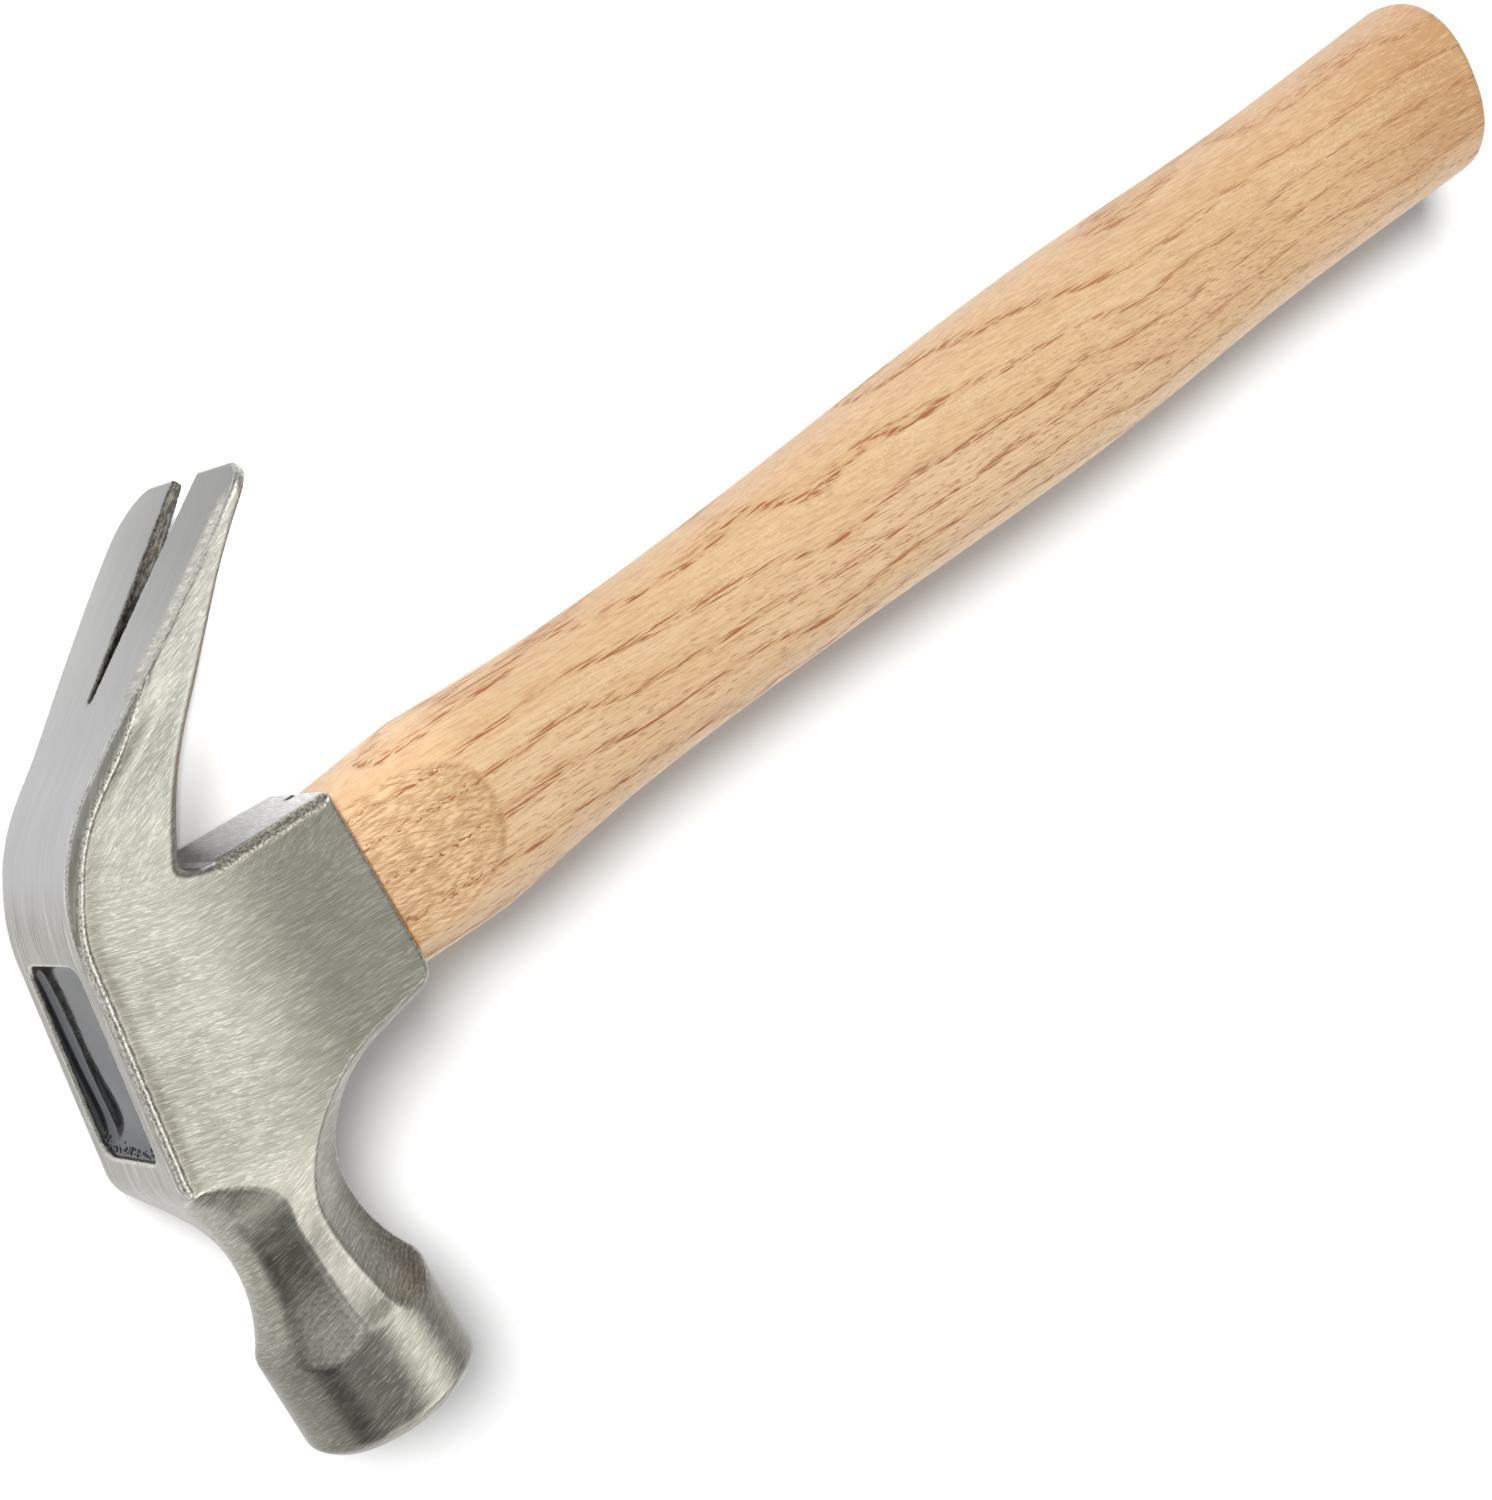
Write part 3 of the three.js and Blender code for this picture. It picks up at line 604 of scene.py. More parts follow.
def ring(x, height, thick, power=SECTION, middle=0.0):
    bend_to = 2 / power
    across = np.sign(np.cos(angle)) * np.abs(np.cos(angle)) ** bend_to * height / 2
    depth = np.sign(np.sin(angle)) * np.abs(np.sin(angle)) ** bend_to * thick / 2
    return np.stack([np.full(AROUND, x), across + middle, depth], axis=1)


PLANED_HALF = 7.5
PLANED_RADIUS = 62.0
PLANED_AT = 2.0
PLANED_TILT = 0.035


def planed_limit(x, y):
    along = np.minimum(np.abs(x - PLANED_AT), PLANED_RADIUS - 1)
    return PLANED_HALF + PLANED_RADIUS - np.sqrt(PLANED_RADIUS**2 - along**2) - PLANED_TILT * y


# %% Build the handle
rings = []
places = np.concatenate([np.arange(0.25, 26, 0.55), np.arange(26, butt_start, 1.6), [butt_start]])
for place, height, thick in zip(places, stations(PLACES, HEIGHTS, places), stations(PLACES, THICKS, places)):
    rings.append(ring(place, height, thick))
for turn_by in np.linspace(0, np.pi / 2, 11)[1:]:
    inset = 2 * BUTT_ROUND * (1 - math.cos(turn_by))
    end_at = butt_start + BUTT_ROUND * math.sin(turn_by)
    rings.append(ring(end_at, HEIGHTS[-1] - inset, THICKS[-1] - inset))
for share in (0.8, 0.6, 0.4, 0.2):
    rings.append(ring(HANDLE_LENGTH, (HEIGHTS[-1] - inset) * share, (THICKS[-1] - inset) * share))
shaft = np.stack(rings)
limit = planed_limit(shaft[..., 0], shaft[..., 1])
free = shaft[..., 2].copy()
near_head = shaft[..., 0] < 40
shaft[..., 2] = np.where(near_head, -np.sign(free) * soft_max(-np.abs(free), -limit, 0.35), free)
cut = np.where(near_head, np.abs(free) - np.abs(shaft[..., 2]), 0)

# %% Add the tenon and the skin
TENON_GAP = 0.25
tenon = []
for x in (0.25, -6.0, -14.0, -22.0, -28.0, -32.0, -36.6):
    middle, long, wide = eye_sizes(np.array(x))
    tenon.append(ring(x, 2 * (long - TENON_GAP), 2 * (wide - TENON_GAP), 9.0, middle))
tenon[-1][:, 0] += TOP_SLOPE * tenon[-1][:, 1]
rings = np.concatenate([np.stack(tenon)[::-1], shaft])


def skin(rings):
    """Quads between rings, and a fan on each end."""
    rows, count = rings.shape[:2]
    number = np.arange(rows * count).reshape(rows, count)
    wrap = np.roll(number, -1, axis=1)
    faces = np.stack([number[:-1], wrap[:-1], wrap[1:], number[1:]], axis=-1).reshape(-1, 4).tolist()
    points = np.vstack([rings.reshape(-1, 3), rings[0].mean(0), rings[-1].mean(0)])
    faces += [[a, rows * count, b] for a, b in zip(number[0], wrap[0])]
    faces += [[b, rows * count + 1, a] for a, b in zip(number[-1], wrap[-1])]
    return points, [face[::-1] for face in faces]


points, faces = skin(rings)
handle = piece_from("shaped_handle", points, faces)
x, y, z = points.T
sunk = planed_limit(x, y) - np.abs(z)
beside = (x > 0.2) & (x < 24)
cut_depth = np.concatenate([np.zeros(len(tenon) * AROUND), cut.ravel(), [0, 0]])
paint(handle, "planed", ease(0.02, 0.15, cut_depth))
paint(handle, "crease", beside * np.exp(-((sunk / 0.1) ** 2)) * (1 - ease(0.1, 0.4, cut_depth)))
print("handle:", len(points), "points, planed share", round(float((cut_depth > 0.1).mean()), 3))

# %% [markdown]
# The wedges stay the CAD part's own solids, out of sight under the resin. The slots that they are
# driven into could be modelled into the rings of the tenon. It is easier to cut them: a copy of
# each wedge grows a little and a Boolean takes it away from the handle.

# %% Saw the slots for the wedges
WEDGE_ROOM = 0.00012
WEDGES = ("wooden_wedge", "steel_wedge_claw_side", "steel_wedge_face_side")


def evaluated(piece):
    """The piece's mesh with its modifiers applied, in place of the plain one."""
    graph = bpy.context.evaluated_depsgraph_get()
    mesh = bpy.data.meshes.new_from_object(piece.evaluated_get(graph))
    piece.modifiers.clear()
    piece.data = mesh


def grown_copy(node):
    """A copy of a CAD solid with its doubled points merged, larger on every side."""
    shape = bmesh.new()
    shape.from_mesh(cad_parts[node].data)
    bmesh.ops.remove_doubles(shape, verts=shape.verts, dist=1e-6)
    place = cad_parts[node].matrix_world
    spots = np.array([place @ v.co for v in shape.verts])
    least, most = spots.min(0), spots.max(0)
    middle, half_size = (most + least) / 2, (most - least) / 2
    for v, spot in zip(shape.verts, middle + (spots - middle) * (1 + WEDGE_ROOM / half_size)):
        v.co = spot
    mesh = bpy.data.meshes.new("cutter")
    shape.to_mesh(mesh)
    shape.free()
    return placed("cutter", mesh)


for node in WEDGES:
    cutter = grown_copy(node)
    saw = handle.modifiers.new("saw", "BOOLEAN")
    saw.operation, saw.solver, saw.object = "DIFFERENCE", "EXACT", cutter
    evaluated(handle)
    bpy.data.objects.remove(cutter)
print("handle after sawing:", len(handle.data.vertices), "points")

# %% [markdown]
# ## The resin in the eye
# After the wedges are driven, the eye is filled with black resin. It creeps up the steel and
# hardens in a trough that is deeper at the face's end, so its mirror is never quite flat. The trough
# is a set of rings between the wall of the eye and its middle, and each point sinks by how far it is
# from the sides and the ends.

# %% Rings of the resin
RIM_DROP, RESIN_FLOOR = 0.6, 6.75
DISH_CLAW_END, DISH_FACE_END = 0.85, 1.9
RESIN_GAP = 0.04
# how suddenly the resin climbs the walls
CLAW_EDGE, FACE_EDGE, NEAR_EDGE, FAR_EDGE = 14, 7, 8, 9


def eye_ring(x, scale):
    """The eye's rounded rectangle, shrunk about its middle and walked in even steps."""
    middle, long, wide = (float(v) for v in eye_sizes(np.array(x)))
    corners, corner = [], EYE_CORNER - RESIN_GAP
    for quarter, (sy, sz) in enumerate([(1, 1), (-1, 1), (-1, -1), (1, -1)]):
        turn_to = (quarter + np.linspace(0, 1, 15)) * math.pi / 2
        corners.append(np.stack([sy * (long - EYE_CORNER) + corner * np.cos(turn_to),
                                 sz * (wide - EYE_CORNER) + corner * np.sin(turn_to)], axis=1))
    loop = np.vstack([*corners, corners[0][:1]])
    walked = np.concatenate([[0], np.cumsum(np.hypot(*np.diff(loop, axis=0).T))])
    even = np.linspace(0, walked[-1], AROUND, endpoint=False)
    across, depth = (scale * np.interp(even, walked, loop[:, k]) for k in (0, 1))
    return np.stack([x + TOP_SLOPE * (middle + across), middle + across, depth], axis=1)


# %% Pour it
scales = np.concatenate([np.linspace(1, 0.84, 12), np.linspace(0.8, 0.06, 22)])
rim = RIM_DROP - HEAD_HEIGHT
dish = []
for scale in scales:
    row = eye_ring(rim, scale)
    middle, long, wide = eye_sizes(np.array(rim))
    along, over = (row[:, 1] - middle) / (long - RESIN_GAP), row[:, 2] / (wide - RESIN_GAP)
    ends = 1 - np.abs(along) ** np.where(along > 0, CLAW_EDGE, FACE_EDGE)
    walls = 1 - np.abs(over) ** np.where(over > 0, NEAR_EDGE, FAR_EDGE)
    sink = lerp(DISH_FACE_END, DISH_CLAW_END, (1 + along) / 2)
    ripple = 0.06 * np.sin(0.3 * row[:, 1] + 0.25 * row[:, 2])
    row[:, 0] += (sink + ripple) * np.maximum(ends, 0) * np.maximum(walls, 0)
    dish.append(row)
sides = [eye_ring(rim + (RESIN_FLOOR - RIM_DROP) * t, 1.0) for t in (1.0, 0.66, 0.33)]
points, faces = skin(np.stack(sides + dish))
resin = piece_from("resin_pour", points, faces)
x, y, z = points.T
wall = -eye_field(x, y, z)
face_end = 1 - ease(-9.5, -7.0, y)
on_top = x < rim + 2.6 + TOP_SLOPE * y
paint(resin, "bubbly", ease(0.15, 0.4, wall) * (1 - ease(0.7, 1.3, wall)) * face_end * on_top)
print("resin:", len(points), "points")

# %% [markdown]
# ## Finish
# Materials are built from nodes. Wiring nodes by hand in Python is long-winded, so one small class
# wraps an output socket: arithmetic on it adds Math nodes. Every other node comes from one method
# that takes the node's type, its settings and its inputs.

# %% A small language for shader nodes
class Value:
    """One number that varies over a surface. Arithmetic on it adds Math nodes."""

    def __init__(self, tree, socket):
        self.tree, self.socket = tree, socket

    def math(self, operation, *others):
        node = self.tree.nodes.new("ShaderNodeMath")
        node.operation = operation
        for slot, other in zip(node.inputs, (self, *others)):
            join(self.tree, other, slot)
        return Value(self.tree, node.outputs[0])

    def __add__(self, other):
        return self.math("ADD", other)

    def __sub__(self, other):
        return self.math("SUBTRACT", other)

    def __mul__(self, other):
        return self.math("MULTIPLY", other)

    def __rsub__(self, other):
        return (self * -1).math("ADD", other)

    __radd__, __rmul__ = __add__, __mul__


def join(tree, source, socket):
    """Link a Value or a socket to an input, or set the input to a plain number or row."""
    if isinstance(source, Value):
        source = source.socket
    if isinstance(source, bpy.types.NodeSocket):
        tree.links.new(source, socket)
    else:
        socket.default_value = source


def srgb(*rgb):
    """A colour picked from a screen, 0 to 255, as the linear colour that shaders use."""
    line = [c / 255 for c in rgb]
    return [c / 12.92 if c <= 0.04045 else ((c + 0.055) / 1.055) ** 2.4 for c in line] + [1.0]


# %% One method for any node
class Finish:
    """A node tree with one method for any node, and short words for the common ones."""

    def __init__(self, tree):
        self.tree = tree
        tree.nodes.clear()

    def node(self, kind, settings=None, inputs=None, output=0):
        node = self.tree.nodes.new(kind)
        for name, setting in (settings or {}).items():
            setattr(node, name, setting)
        for name, source in (inputs or {}).items():
            join(self.tree, source, node.inputs[name])
        return None if output is None else node.outputs[output]

    def number(self, *args, **more):
        return Value(self.tree, self.node(*args, **more))

    def maker_mm(self):
        """Object coordinates as the maker's millimetres."""
        spot = self.node("ShaderNodeTexCoord", output="Object")
        return self.node("ShaderNodeMapping", {}, {
            "Vector": spot, "Scale": (1000, 1000, 1000), "Location": (-SHIFT).tolist()})

    def mask(self, name):
        return self.number("ShaderNodeAttribute", {"attribute_name": name}, output="Fac")

    def part_of(self, vector, direction):
        return self.number("ShaderNodeVectorMath", {"operation": "DOT_PRODUCT"},
                           {0: vector, 1: tuple(direction)}, output="Value")

    def frame_of(self, vector, *ways):
        """Coordinates along three directions, each already divided by a feature's size."""
        sides = {name: self.part_of(vector, way) for name, way in zip("XYZ", ways)}
        return self.node("ShaderNodeCombineXYZ", {}, sides)

    def noise(self, vector, detail=2.0, roughness=0.55, scale=1.0):
        return self.number("ShaderNodeTexNoise", {}, {
            "Vector": vector, "Scale": scale, "Detail": detail, "Roughness": roughness})

    def soft(self, value, low, high):
        """0 at low, 1 at high, with a soft step between. Low may be the larger."""
        return self.number("ShaderNodeMapRange", {"interpolation_type": "SMOOTHSTEP"}, {
            "Value": value, "From Min": low, "From Max": high})

    def mix(self, factor, a, b, blend="MIX"):
        """Mix two colours. A row of three numbers is a colour picked from a screen."""
        a, b = (srgb(*c) if isinstance(c, tuple) and len(c) == 3 else c for c in (a, b))
        settings = {"data_type": "RGBA", "blend_type": blend}
        # the Mix node's colours are its inputs 6 and 7 and its output 2
        return self.node("ShaderNodeMix", settings, {0: factor, 6: a, 7: b}, output=2)

    def coats(self, tone, *rows):
        """Lay colours over a tone, each with the share of it that shows."""
        for share, colour in rows:
            tone = self.mix(share, tone, colour)
        return tone

    def bump(self, height, distance):
        return self.node("ShaderNodeBump", {}, {"Height": height, "Distance": distance})


# %% Materials
def material(name):
    made = bpy.data.materials.new(name)
    made.use_nodes = True
    return made, Finish(made.node_tree)


def surface(finish, inputs):
    """Close a tree with the Principled shader."""
    shader = finish.node("ShaderNodeBsdfPrincipled", {}, inputs)
    finish.node("ShaderNodeOutputMaterial", {}, {"Surface": shader}, output=None)


# %% [markdown]
# ## Brushed steel
# The cheeks and the claw were ground on a belt that ran nearly along the handle, and the neck and
# poll were ground while they turned. A belt leaves fine lines and a few bright strokes, which are
# noises drawn out along its direction. In the colour their light and dark are painted highlight and
# shade, a lit and a shaded copy of the tone. The masks choose between the directions, and the raw
# forge skin gets a grainy noise of its own.

# %% Strokes of the belt and the grinder
head_steel, f = material("brushed_forged_steel")
p = f.maker_mm()


def brushed(along, across, length, width):
    """Fine lines and a few bright strokes along one direction: two drawn-out noises."""
    along, across = np.array(along, float) / length, np.array(across, float) / width
    third = np.cross(along, across) * width
    lines = f.noise(f.frame_of(p, along, across, third), 2.0, 0.65)
    dashes = f.noise(f.frame_of(p, 1.9 * along, 0.75 * across, 1.9 * third), 1.0, 0.5)
    return lines + f.soft(dashes, 0.57, 0.7) * 0.4


def slanted(degrees, length, width):
    """Strokes of the belt on the cheeks, at an angle to the handle."""
    turn_to = math.radians(degrees)
    return brushed((math.cos(turn_to), math.sin(turn_to), 0), (-math.sin(turn_to), math.cos(turn_to), 0),
                   length, width)


belt, high_belt = slanted(-7, 5.0, 0.16), slanted(-20, 3.0, 0.17)
belt = lerp(belt, high_belt, f.soft(f.part_of(p, (1, 0, 0)), -21, -34))
claw_side = f.soft(f.part_of(p, (0.5, 0.87, 0)), -4, 12)
belt = lerp(belt, slanted(20, 2.4, 0.15), claw_side)
spun = brushed((0.95, 0.24, 0), (-0.24, 0.95, -0.2), 3.4, 0.15)
drawn = brushed((*ALONG, 0), (0, 0, 1), 16.0, 0.2)
grain = f.noise(p, 2.0, 0.6, 2.6)
cloud = f.noise(p, 3.0, 0.6, 0.09)

ground, raw, slot, rough_shaded_throat = (f.mask(name) for name in ("ground", "raw", "slot", "throat"))
ribbon = f.soft(f.mask("ribbon") + (belt - 0.6) * 0.7, 0.25, 0.75)
brush = lerp(lerp(belt, spun, ground), drawn, ribbon)

# %% Steel for the head
to_claw = f.part_of(p, (0, 1, 0))
# painted shade: the boss is painted darker, standing in for the shade on its more leaning face
boss = f.soft(f.part_of(p, (1, -0.12, 0)), -31, -12) * (1 - ground) * f.soft(to_claw, 24, 16)
near_eye = f.soft(to_claw, 26, 19) * ribbon
down, forward = f.part_of(p, (1, 0, 0)) - POLL_AXIS, f.part_of(p, (0, -1, 0))
# painted shade: the neck's lower side and the poll's upper side are painted darker, as faces turned away from
# the light
turned_away_shade = f.soft(down, 4.5, 9) * f.soft(forward, 19, 27) + f.soft(down, -6, -11) * f.soft(forward, 40, 48)
# painted shade: the claw's smooth outer face is painted darker towards the tip
tip_shade = f.soft(f.part_of(p, (*ALONG, 0)), -12, 36)
tone = f.coats(
    f.mix(f.soft(cloud, 0.35, 0.68), (158, 156, 145), (172, 170, 158)),
    (claw_side, (168, 166, 157)),
    # painted shade on the boss
    (boss * 0.9, (104, 103, 94)),
    (ground * f.soft(cloud, 0.42, 0.6), (170, 166, 158)),
    # painted shade on faces turned away from the light
    (turned_away_shade * 0.75, (114, 111, 103)),
    # the smooth outer face, with painted shade towards the tip
    (ribbon, f.mix(tip_shade, (184, 184, 185), (138, 138, 136))),
    (near_eye * 0.6, (172, 168, 158)),
    (f.mask("rubbed") * (1 - ribbon) * 0.7, (206, 204, 194)),
    (f.mask("strip") * 0.8, (136, 131, 118)),
    # painted highlight on the boss's face towards the claw
    (f.mask("collar") * 0.9, (204, 205, 208)))

contrast = 1 - ribbon * (1 - near_eye) * 0.75
# painted highlight and shade: the strokes choose between a shaded and a lit copy of the tone
shaded = f.mix(1.0, tone, (0.66, 0.66, 0.65, 1), "MULTIPLY")
lit = f.mix(1.0, tone, (1.2, 1.2, 1.2, 1), "MULTIPLY")
forge_skin = f.mix(f.soft(grain, 0.4, 0.62), (134, 129, 116), (208, 203, 188))
sawn = f.noise(f.frame_of(p, (*(ALONG / 1.4), 0), (*(SQUARE / 0.35), 0), (0, 0, 1 / 0.35)), 3.0, 0.65)
slot_skin = f.mix(f.soft(sawn, 0.42, 0.66), (46, 41, 38), (126, 119, 111))
tone = f.coats(
    f.mix(contrast, tone, f.mix(f.soft(brush, 0.36, 0.82), shaded, lit)),
    # painted shade in the groove beside the bead
    (f.mask("valley") * 0.4, (112, 107, 94)),
    # painted shadow under the cheek's edge at the hollow
    (f.mask("lip") * f.soft(grain, 0.62, 0.4) * 0.4, (84, 81, 75)),
    (raw * 0.9, forge_skin),
    (f.mask("eye") * 0.7, (84, 82, 80)),
    (f.soft(f.mask("worn"), 0.25, 0.8) * f.soft(grain, 0.3, 0.55) * 0.7, (220, 219, 212)),
    (slot * 0.85, slot_skin),
    # painted shade on the claw's inner face
    (rough_shaded_throat * 0.85, (92, 92, 90)))

rough = 0.31 + (brush - 0.6) * 0.16 * contrast + raw * 0.12 + slot * 0.15 + rough_shaded_throat * 0.2
height = (brush - 0.6) * contrast * (1 - raw) + (grain - 0.5) * (raw * 5 + slot * 2)
surface(f, {"Base Color": tone, "Roughness": rough, "Metallic": 1.0,
            "Normal": f.bump(height, 0.00001)})
head.data.materials.append(head_steel)
print("steel nodes:", len(f.tree.nodes))

# %% [markdown]
# ## Hardwood
# The handle is a pale, open-pored wood. Its grain runs at a few degrees to the handle, so rings come
# out of the surface as slanting rows of pores. Between the rows lie fine darker fibres, and a band
# of rays shows as light flecks across the grain. Where the planed hollow cuts the fibres, the wood
# is duller, its pores are dots and the blade left thin lines across.

# %% Grain of the handle
handle_wood, f = material("open_pored_hardwood")
p = f.maker_mm()
DEEP = np.array([0.0, 0.0, 1.0])


def fibres(length, width, detail=2.0, runout=3.0):
    """Noise drawn out along the grain, or across it where the length is the smaller."""
    lean = math.radians(runout)
    with_grain = np.array([math.cos(lean), -math.sin(lean), 0.0])
    over_grain = np.array([math.sin(lean), math.cos(lean), 0.0])
    return f.noise(f.frame_of(p, with_grain / length, over_grain / width, DEEP / width), detail, 0.55)


planed = f.mask("planed")
from_head, side = f.part_of(p, (1, 0, 0)), f.part_of(p, (0, 1, 0))
wander = fibres(55.0, 26.0)
row = f.part_of(p, (0.05 / 5.2, 1 / 5.2, 1 / 26)) + (wander - 0.5) * 2.4
phase = row.math("FRACT")
early = f.soft(phase, 0.0, 0.06) * (1 - f.soft(phase, 0.1, 0.34))
streak = fibres(6.5, 0.36)
dots = fibres(1.2, 0.42)
pore = f.soft(streak, 0.5, 0.6) * early
pore = lerp(pore, f.soft(dots, 0.54, 0.64) * early, planed)
low_half = f.soft(side, 9, -3)
dash = f.soft(fibres(2.6, 0.32, 1.0, 7.0), 0.58, 0.7) * (low_half * 0.7 + 0.3) * (1 - planed)
fine = fibres(6.0, 0.34, 3.0, 5.0)
broad = fibres(34.0, 3.2)
flame = f.soft(fibres(2.4, 5.0, 2.0), 0.4, 0.7) * f.soft(side, 2, 9) * f.soft(from_head, 150, 30)
band = f.soft((side - 6.5 - (wander - 0.5) * 14).math("ABSOLUTE"), 4.2, 1.2)
rays = f.soft(fibres(0.35, 0.8, 1.0), 0.5, 0.66) * band * (1 - planed)
print("wood pattern nodes:", len(f.tree.nodes))

# %% Wood for the handle
dull = f.mix(f.soft(fibres(2.6, 0.4), 0.35, 0.65), (164, 127, 88), (212, 181, 144))
hatch = f.noise(f.frame_of(p, (0.93 / 9, -0.37 / 9, 0), (0.37 / 0.7, 0.93 / 0.7, 0), DEEP / 4), 1.0, 0.4)
hatch = f.soft((hatch - 0.5).math("ABSOLUTE"), 0.04, 0.008) * planed
seam = 1 - f.soft(from_head, 0.2, 1.0)
tone = f.coats(
    f.mix(f.soft(broad, 0.35, 0.65), (198, 163, 122), (204, 172, 134)),
    (f.soft(from_head, 130, 240) * 0.5, (190, 150, 104)),
    (f.soft(from_head, 226, 272) * 0.8, (170, 127, 80)),
    (f.soft(side, 9.0, 14.5) * 0.45, (196, 164, 136)),
    # painted light: the lower edge is painted lighter, for the sheen and the light thrown up from the sheet
    (f.soft(side, -8.0, -13.5) * 0.6, (222, 192, 156)),
    (early * 0.3, (184, 142, 96)),
    (f.soft(fine, 0.42, 0.72) * 0.5, (170, 130, 92)),
    (f.soft(fine, 0.5, 0.3) * 0.5, (210, 180, 140)),
    (flame * 0.35, (208, 178, 138)),
    (rays * 0.3, (214, 190, 156)),
    (planed * 0.7, dull),
    (dash * 0.7, (158, 114, 74)),
    (pore * (0.95 - f.soft(from_head, 110, 220) * 0.4), (148, 86, 50)),
    (hatch * 0.22, (140, 100, 62)),
    # painted shade: the far end of the planed hollow, where it curls up, is painted darker
    (f.soft(from_head, 13, 19) * planed * 0.25, (168, 130, 86)),
    (f.mask("crease") * 0.35, (140, 98, 58)),
    (seam * 0.7, (140, 84, 40)))
rough = 0.46 + pore * 0.2 - rays * 0.06 + planed * 0.12
dents = fine * 0.5 - pore * 0.9 - dash * 0.6 - hatch * 0.6 + rays * 0.2
surface(f, {"Base Color": tone, "Roughness": rough, "IOR": 1.45, "Coat Weight": 0.12, "Coat Roughness": 0.3,
            "Normal": f.bump(dents, 0.00008)})
handle.data.materials.append(handle_wood)
print("wood nodes:", len(f.tree.nodes))

# %% [markdown]
# ## Black resin
# Cast resin is a dark, glossy dielectric. A Principled shader with a high index of refraction
# mirrors the room on a nearly black base. A slow noise moves its roughness a little, as dust and
# handling do.

# %% Resin, and finishes for the hidden wedges
resin_black, f = material("poured_black_resin")
p = f.maker_mm()
haze = f.noise(p, 3.0, 0.6, 0.35)
tone = f.mix(f.soft(haze, 0.3, 0.7), (10, 10, 12), (18, 18, 22))
surface(f, {"Base Color": tone, "Roughness": 0.04 + haze * 0.06, "IOR": 1.9,
            "Specular Tint": (0.92, 0.95, 1.0, 1), "Normal": f.bump(f.noise(p, 2.0, 0.5, 0.3), 0.00002)})
resin.data.materials.append(resin_black)

wedge_wood, f = material("raw_wedge_wood")
p = f.maker_mm()
grain = f.noise(f.frame_of(p, (1 / 12, 0, 0), (0, 1 / 0.5, 0), (0, 0, 1 / 0.5)), 3.0, 0.6)
surface(f, {"Base Color": f.mix(f.soft(grain, 0.35, 0.7), (176, 130, 80), (206, 166, 116)),
            "Roughness": 0.65 + grain * 0.2, "Normal": f.bump(grain, 0.00005)})
wedge_steel, f = material("mild_wedge_steel")
p = f.maker_mm()
scale = f.noise(p, 3.0, 0.6, 0.8)
surface(f, {"Base Color": f.mix(f.soft(scale, 0.35, 0.7), (108, 104, 98), (150, 148, 142)),
            "Roughness": 0.4 + scale * 0.25, "Metallic": 1.0, "Normal": f.bump(scale, 0.00002)})
for node, finish in zip(WEDGES, (wedge_wood, wedge_steel, wedge_steel)):
    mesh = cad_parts[node].data
    mesh.materials.clear()
    mesh.materials.append(finish)

# %% [markdown]
# ## Bubbles in the resin
# Where the resin met the cold steel at the face end, small bubbles froze in its edge. They could be
# set one by one, but a rule is shorter: scatter points on the dish, more where the painted
# attribute is high, and put a small ball on each. Geometry Nodes do this, with a fixed seed.

# %% Scatter the bubbles
def bubble_tree(finish):
    """A node tree that adds half-sunk balls to a mesh. Also returns its inputs' identifiers."""
    tree = bpy.data.node_groups.new("frozen_bubbles", "GeometryNodeTree")
    tree.interface.new_socket("Geometry", in_out="OUTPUT", socket_type="NodeSocketGeometry")
    inputs = {}
    for name, kind in (("Geometry", "Geometry"), ("Density", "Float"), ("Smallest", "Float"),
                       ("Largest", "Float"), ("Seed", "Int")):
        socket = tree.interface.new_socket(name, in_out="INPUT", socket_type="NodeSocket" + kind)
        inputs[name] = socket.identifier
    g = Finish(tree)
    given = {name: g.number("NodeGroupInput", output=name) for name in inputs}
    bubbly = g.number("GeometryNodeInputNamedAttribute", {"data_type": "FLOAT"}, {"Name": "bubbly"})
    spots = g.node("GeometryNodeDistributePointsOnFaces", {"distribute_method": "RANDOM"}, {
        "Mesh": given["Geometry"], "Density": given["Density"] * bubbly, "Seed": given["Seed"]})
    ball = g.node("GeometryNodeMeshIcoSphere", {}, {"Radius": 1.0, "Subdivisions": 2})
    smooth = g.node("GeometryNodeSetShadeSmooth", {}, {"Geometry": ball})
    size = g.node("FunctionNodeRandomValue", {"data_type": "FLOAT"}, {
        2: given["Smallest"], 3: given["Largest"], "Seed": given["Seed"]}, output=1)
    balls = g.node("GeometryNodeInstanceOnPoints", {}, {"Points": spots, "Instance": smooth, "Scale": size})
    both = tree.nodes.new("GeometryNodeJoinGeometry")
    for part in (given["Geometry"].socket, balls):
        tree.links.new(part, both.inputs[0])
    real = g.node("GeometryNodeRealizeInstances", {}, {"Geometry": both.outputs[0]})
    coated = g.node("GeometryNodeSetMaterial", {}, {"Geometry": real, "Material": finish})
    g.node("NodeGroupOutput", {}, {"Geometry": coated}, output=None)
    return tree, inputs


tree, inputs = bubble_tree(resin_black)
froth = resin.modifiers.new("froth", "NODES")
froth.node_group = tree
for name, given in (("Density", 4.0e6), ("Smallest", 0.00008), ("Largest", 0.00024), ("Seed", 7)):
    froth[inputs[name]] = given
before = len(resin.data.polygons)
evaluated(resin)
print("bubbles:", (len(resin.data.polygons) - before) // 80)

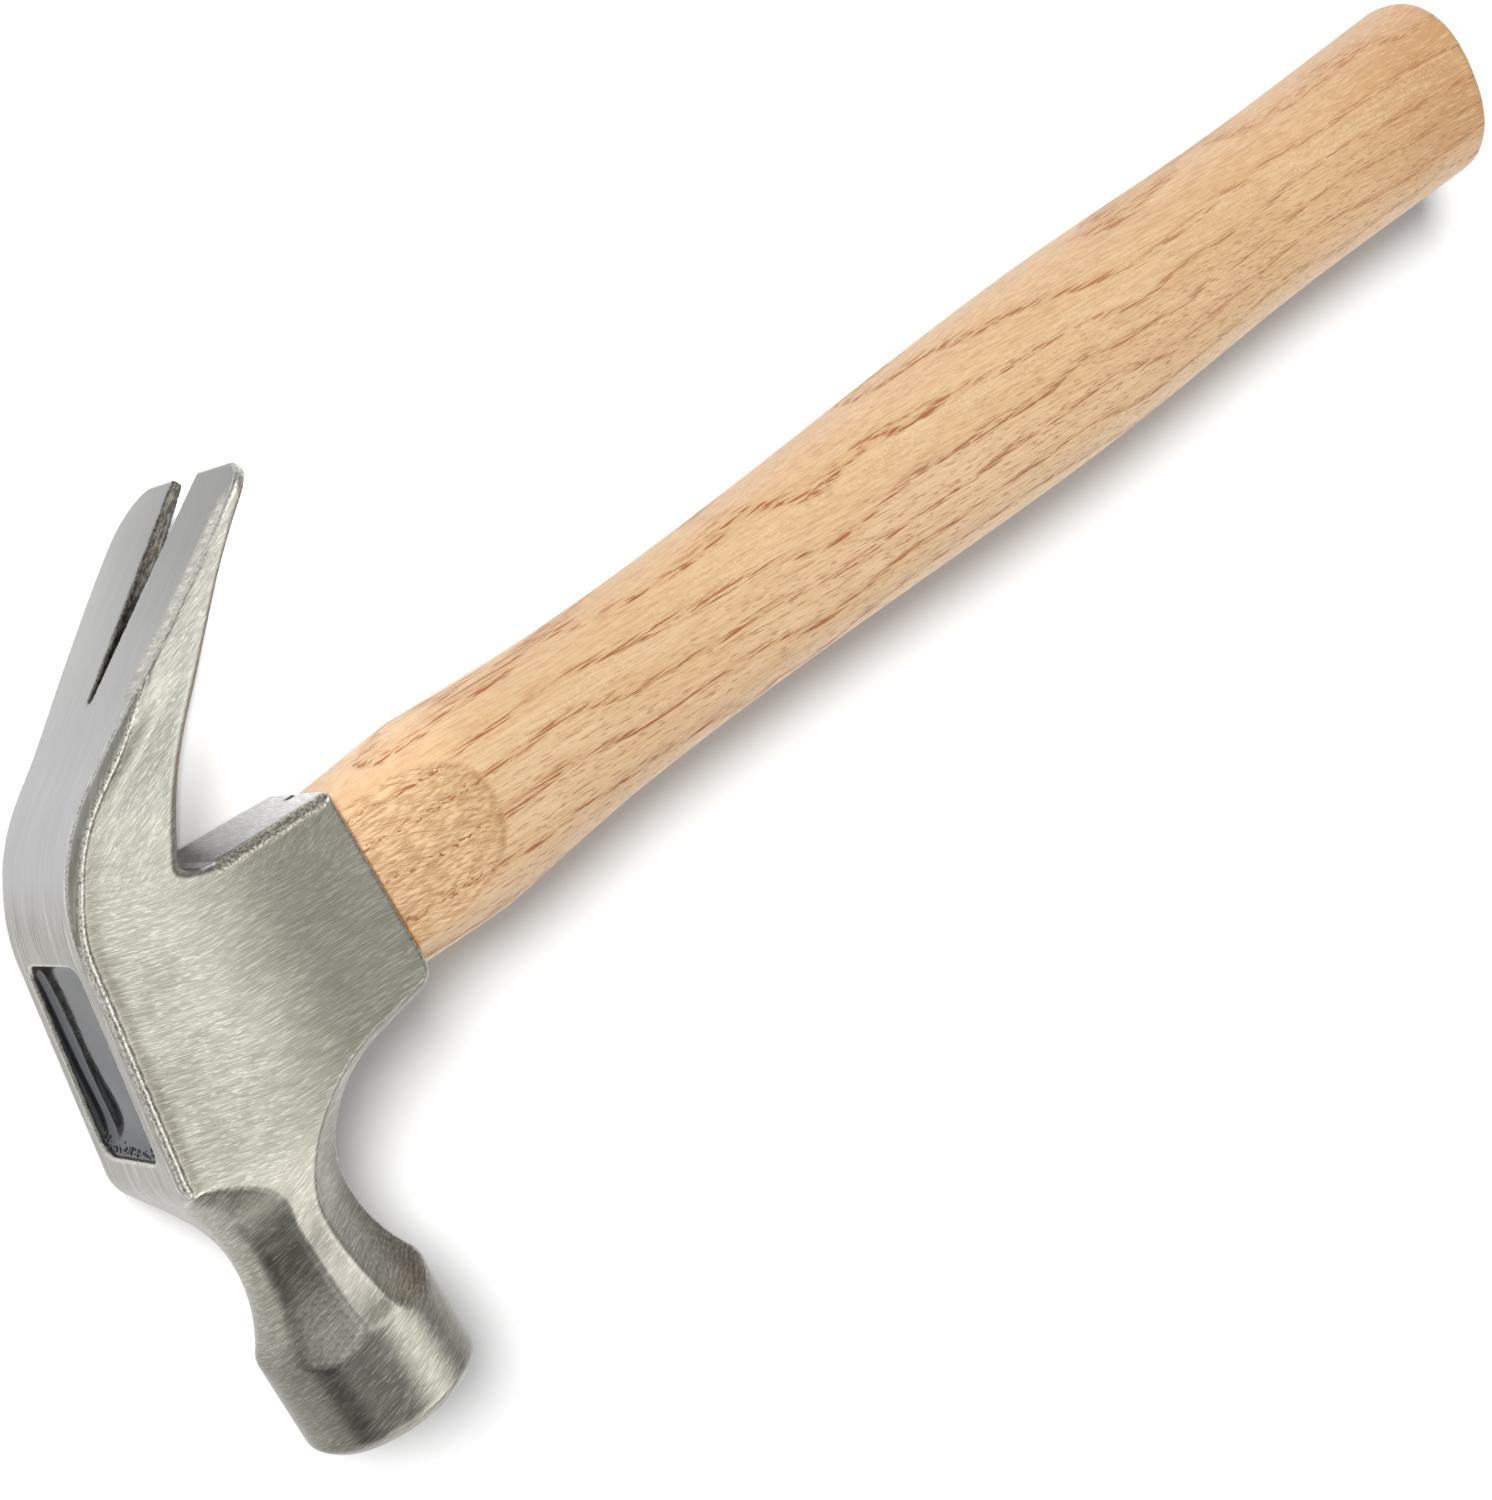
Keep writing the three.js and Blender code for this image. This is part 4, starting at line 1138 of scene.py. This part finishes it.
# %% [markdown]
# ## Set, light and camera
# The hammer lies on a white sheet under a broad key light from the claw's side. Two small lamps
# at the camera lighten the sheet in the throat and under the claw's tip, where the key casts a
# shadow. Steel shows its surroundings, so the world is not one flat grey: soft boxes hang over the
# handle, over the claw and in front of the face, and the room is darker beyond the head's top and
# above the neck. Matt surfaces see a calmer world with some fill from the face's side, so that the
# wood keeps its form.

# %% Floor
floor_mesh = bpy.data.meshes.new("white_sheet")
floor_mesh.from_pydata([(-6, -6, 0), (6, -6, 0), (6, 6, 0), (-6, 6, 0)], [], [(0, 1, 2, 3)])
floor = placed("white_sheet", floor_mesh)
sheet, f = material("white_sheet")
surface(f, {"Base Color": (0.93, 0.93, 0.93, 1), "Roughness": 0.9, "Specular IOR Level": 0.0})
floor.data.materials.append(sheet)

# %% Key and lamps
sun = bpy.data.lights.new("key", "SUN")
sun.energy, sun.angle = 3.9, math.radians(24)
key = placed("key", sun)
key.rotation_euler = Vector((-0.42, 0.50, 0.75)).to_track_quat("Z", "Y").to_euler()
key.visible_glossy = False

CAMERA_AT = Vector((-0.2603, 0.0924, 0.3299))
for name, spot, watts, degrees in (("throat_lamp", (-0.1090, 0.0255, 0.0), 3.2, 11),
                                   ("tip_lamp", (-0.0985, 0.0405, 0.0), 4.0, 10)):
    lamp = bpy.data.lights.new(name, "SPOT")
    lamp.energy, lamp.spot_size, lamp.spot_blend = watts, math.radians(degrees), 1.0
    lamp.shadow_soft_size = 0.01
    small = placed(name, lamp)
    small.location = CAMERA_AT
    small.rotation_euler = (CAMERA_AT - Vector(spot)).to_track_quat("Z", "Y").to_euler()
    small.visible_glossy = False

# %% World
world = bpy.data.worlds.new("studio")
bpy.context.scene.world = world
world.use_nodes = True
f = Finish(world.node_tree)
look = f.node("ShaderNodeTexCoord", output="Generated")


def glow(direction, low, high):
    """A soft patch of the world around a direction, 0 outside and 1 in its middle."""
    return f.soft(f.part_of(look, Vector(direction).normalized()), low, high)


SOFT_BOXES = ((1.9, (0.45, -0.61, 0.65), 0.87, 0.985), (2.1, (0.53, 0.1, 0.84), 0.87, 0.985),
              (0.55, (-0.45, 0.5, 0.74), 0.8, 0.97), (0.9, (-0.1, -0.85, 0.5), 0.82, 0.98))
DARK_PATCHES = ((0.84, (-0.93, -0.22, 0.33), 0.94, 0.985), (0.4, (-0.25, -0.5, 0.83), 0.9, 0.975))
light = 0.48
for strength, *patch in SOFT_BOXES:
    light = light + strength * glow(*patch)
for share, *patch in DARK_PATCHES:
    light = light * (1 - share * glow(*patch))
diffuse = f.number("ShaderNodeLightPath", output="Is Diffuse Ray")
fill = 3.2 * glow((0.1, -0.98, 0.08), 0.8, 1.0)
light = light * (1 - 0.78 * diffuse) + fill * diffuse
shade = f.node("ShaderNodeBackground", {}, {"Color": (1, 1, 1, 1), "Strength": light})
f.node("ShaderNodeOutputWorld", {}, {"Surface": shade}, output=None)

# %% Camera
RIGHT, UP, AHEAD = (0.6602, -0.4467, 0.6038), (0.5253, 0.8492, 0.0538), (0.5368, -0.2817, -0.7953)
lens = bpy.data.cameras.new("portrait")
lens.lens, lens.sensor_width = 62.4, 36.0
lens.clip_start = 0.01
camera = placed("portrait", lens)
turned = Matrix((RIGHT, UP, [-a for a in AHEAD])).transposed().to_4x4()
camera.matrix_world = Matrix.Translation(CAMERA_AT) @ turned
bpy.context.scene.camera = camera
bpy.context.scene.view_settings.view_transform = "Standard"

# %% [markdown]
# ## Ride and replace
# Each finished piece rides on the one rigid body, and the CAD node that it stands for is hidden.

# %% Ride and replace
for piece, node, slot_name in ((head, "hammer_head", "head_steel"), (handle, "handle", "handle_wood"),
                               (resin, "resin_seal", "resin")):
    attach(piece, "root")
    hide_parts(node)
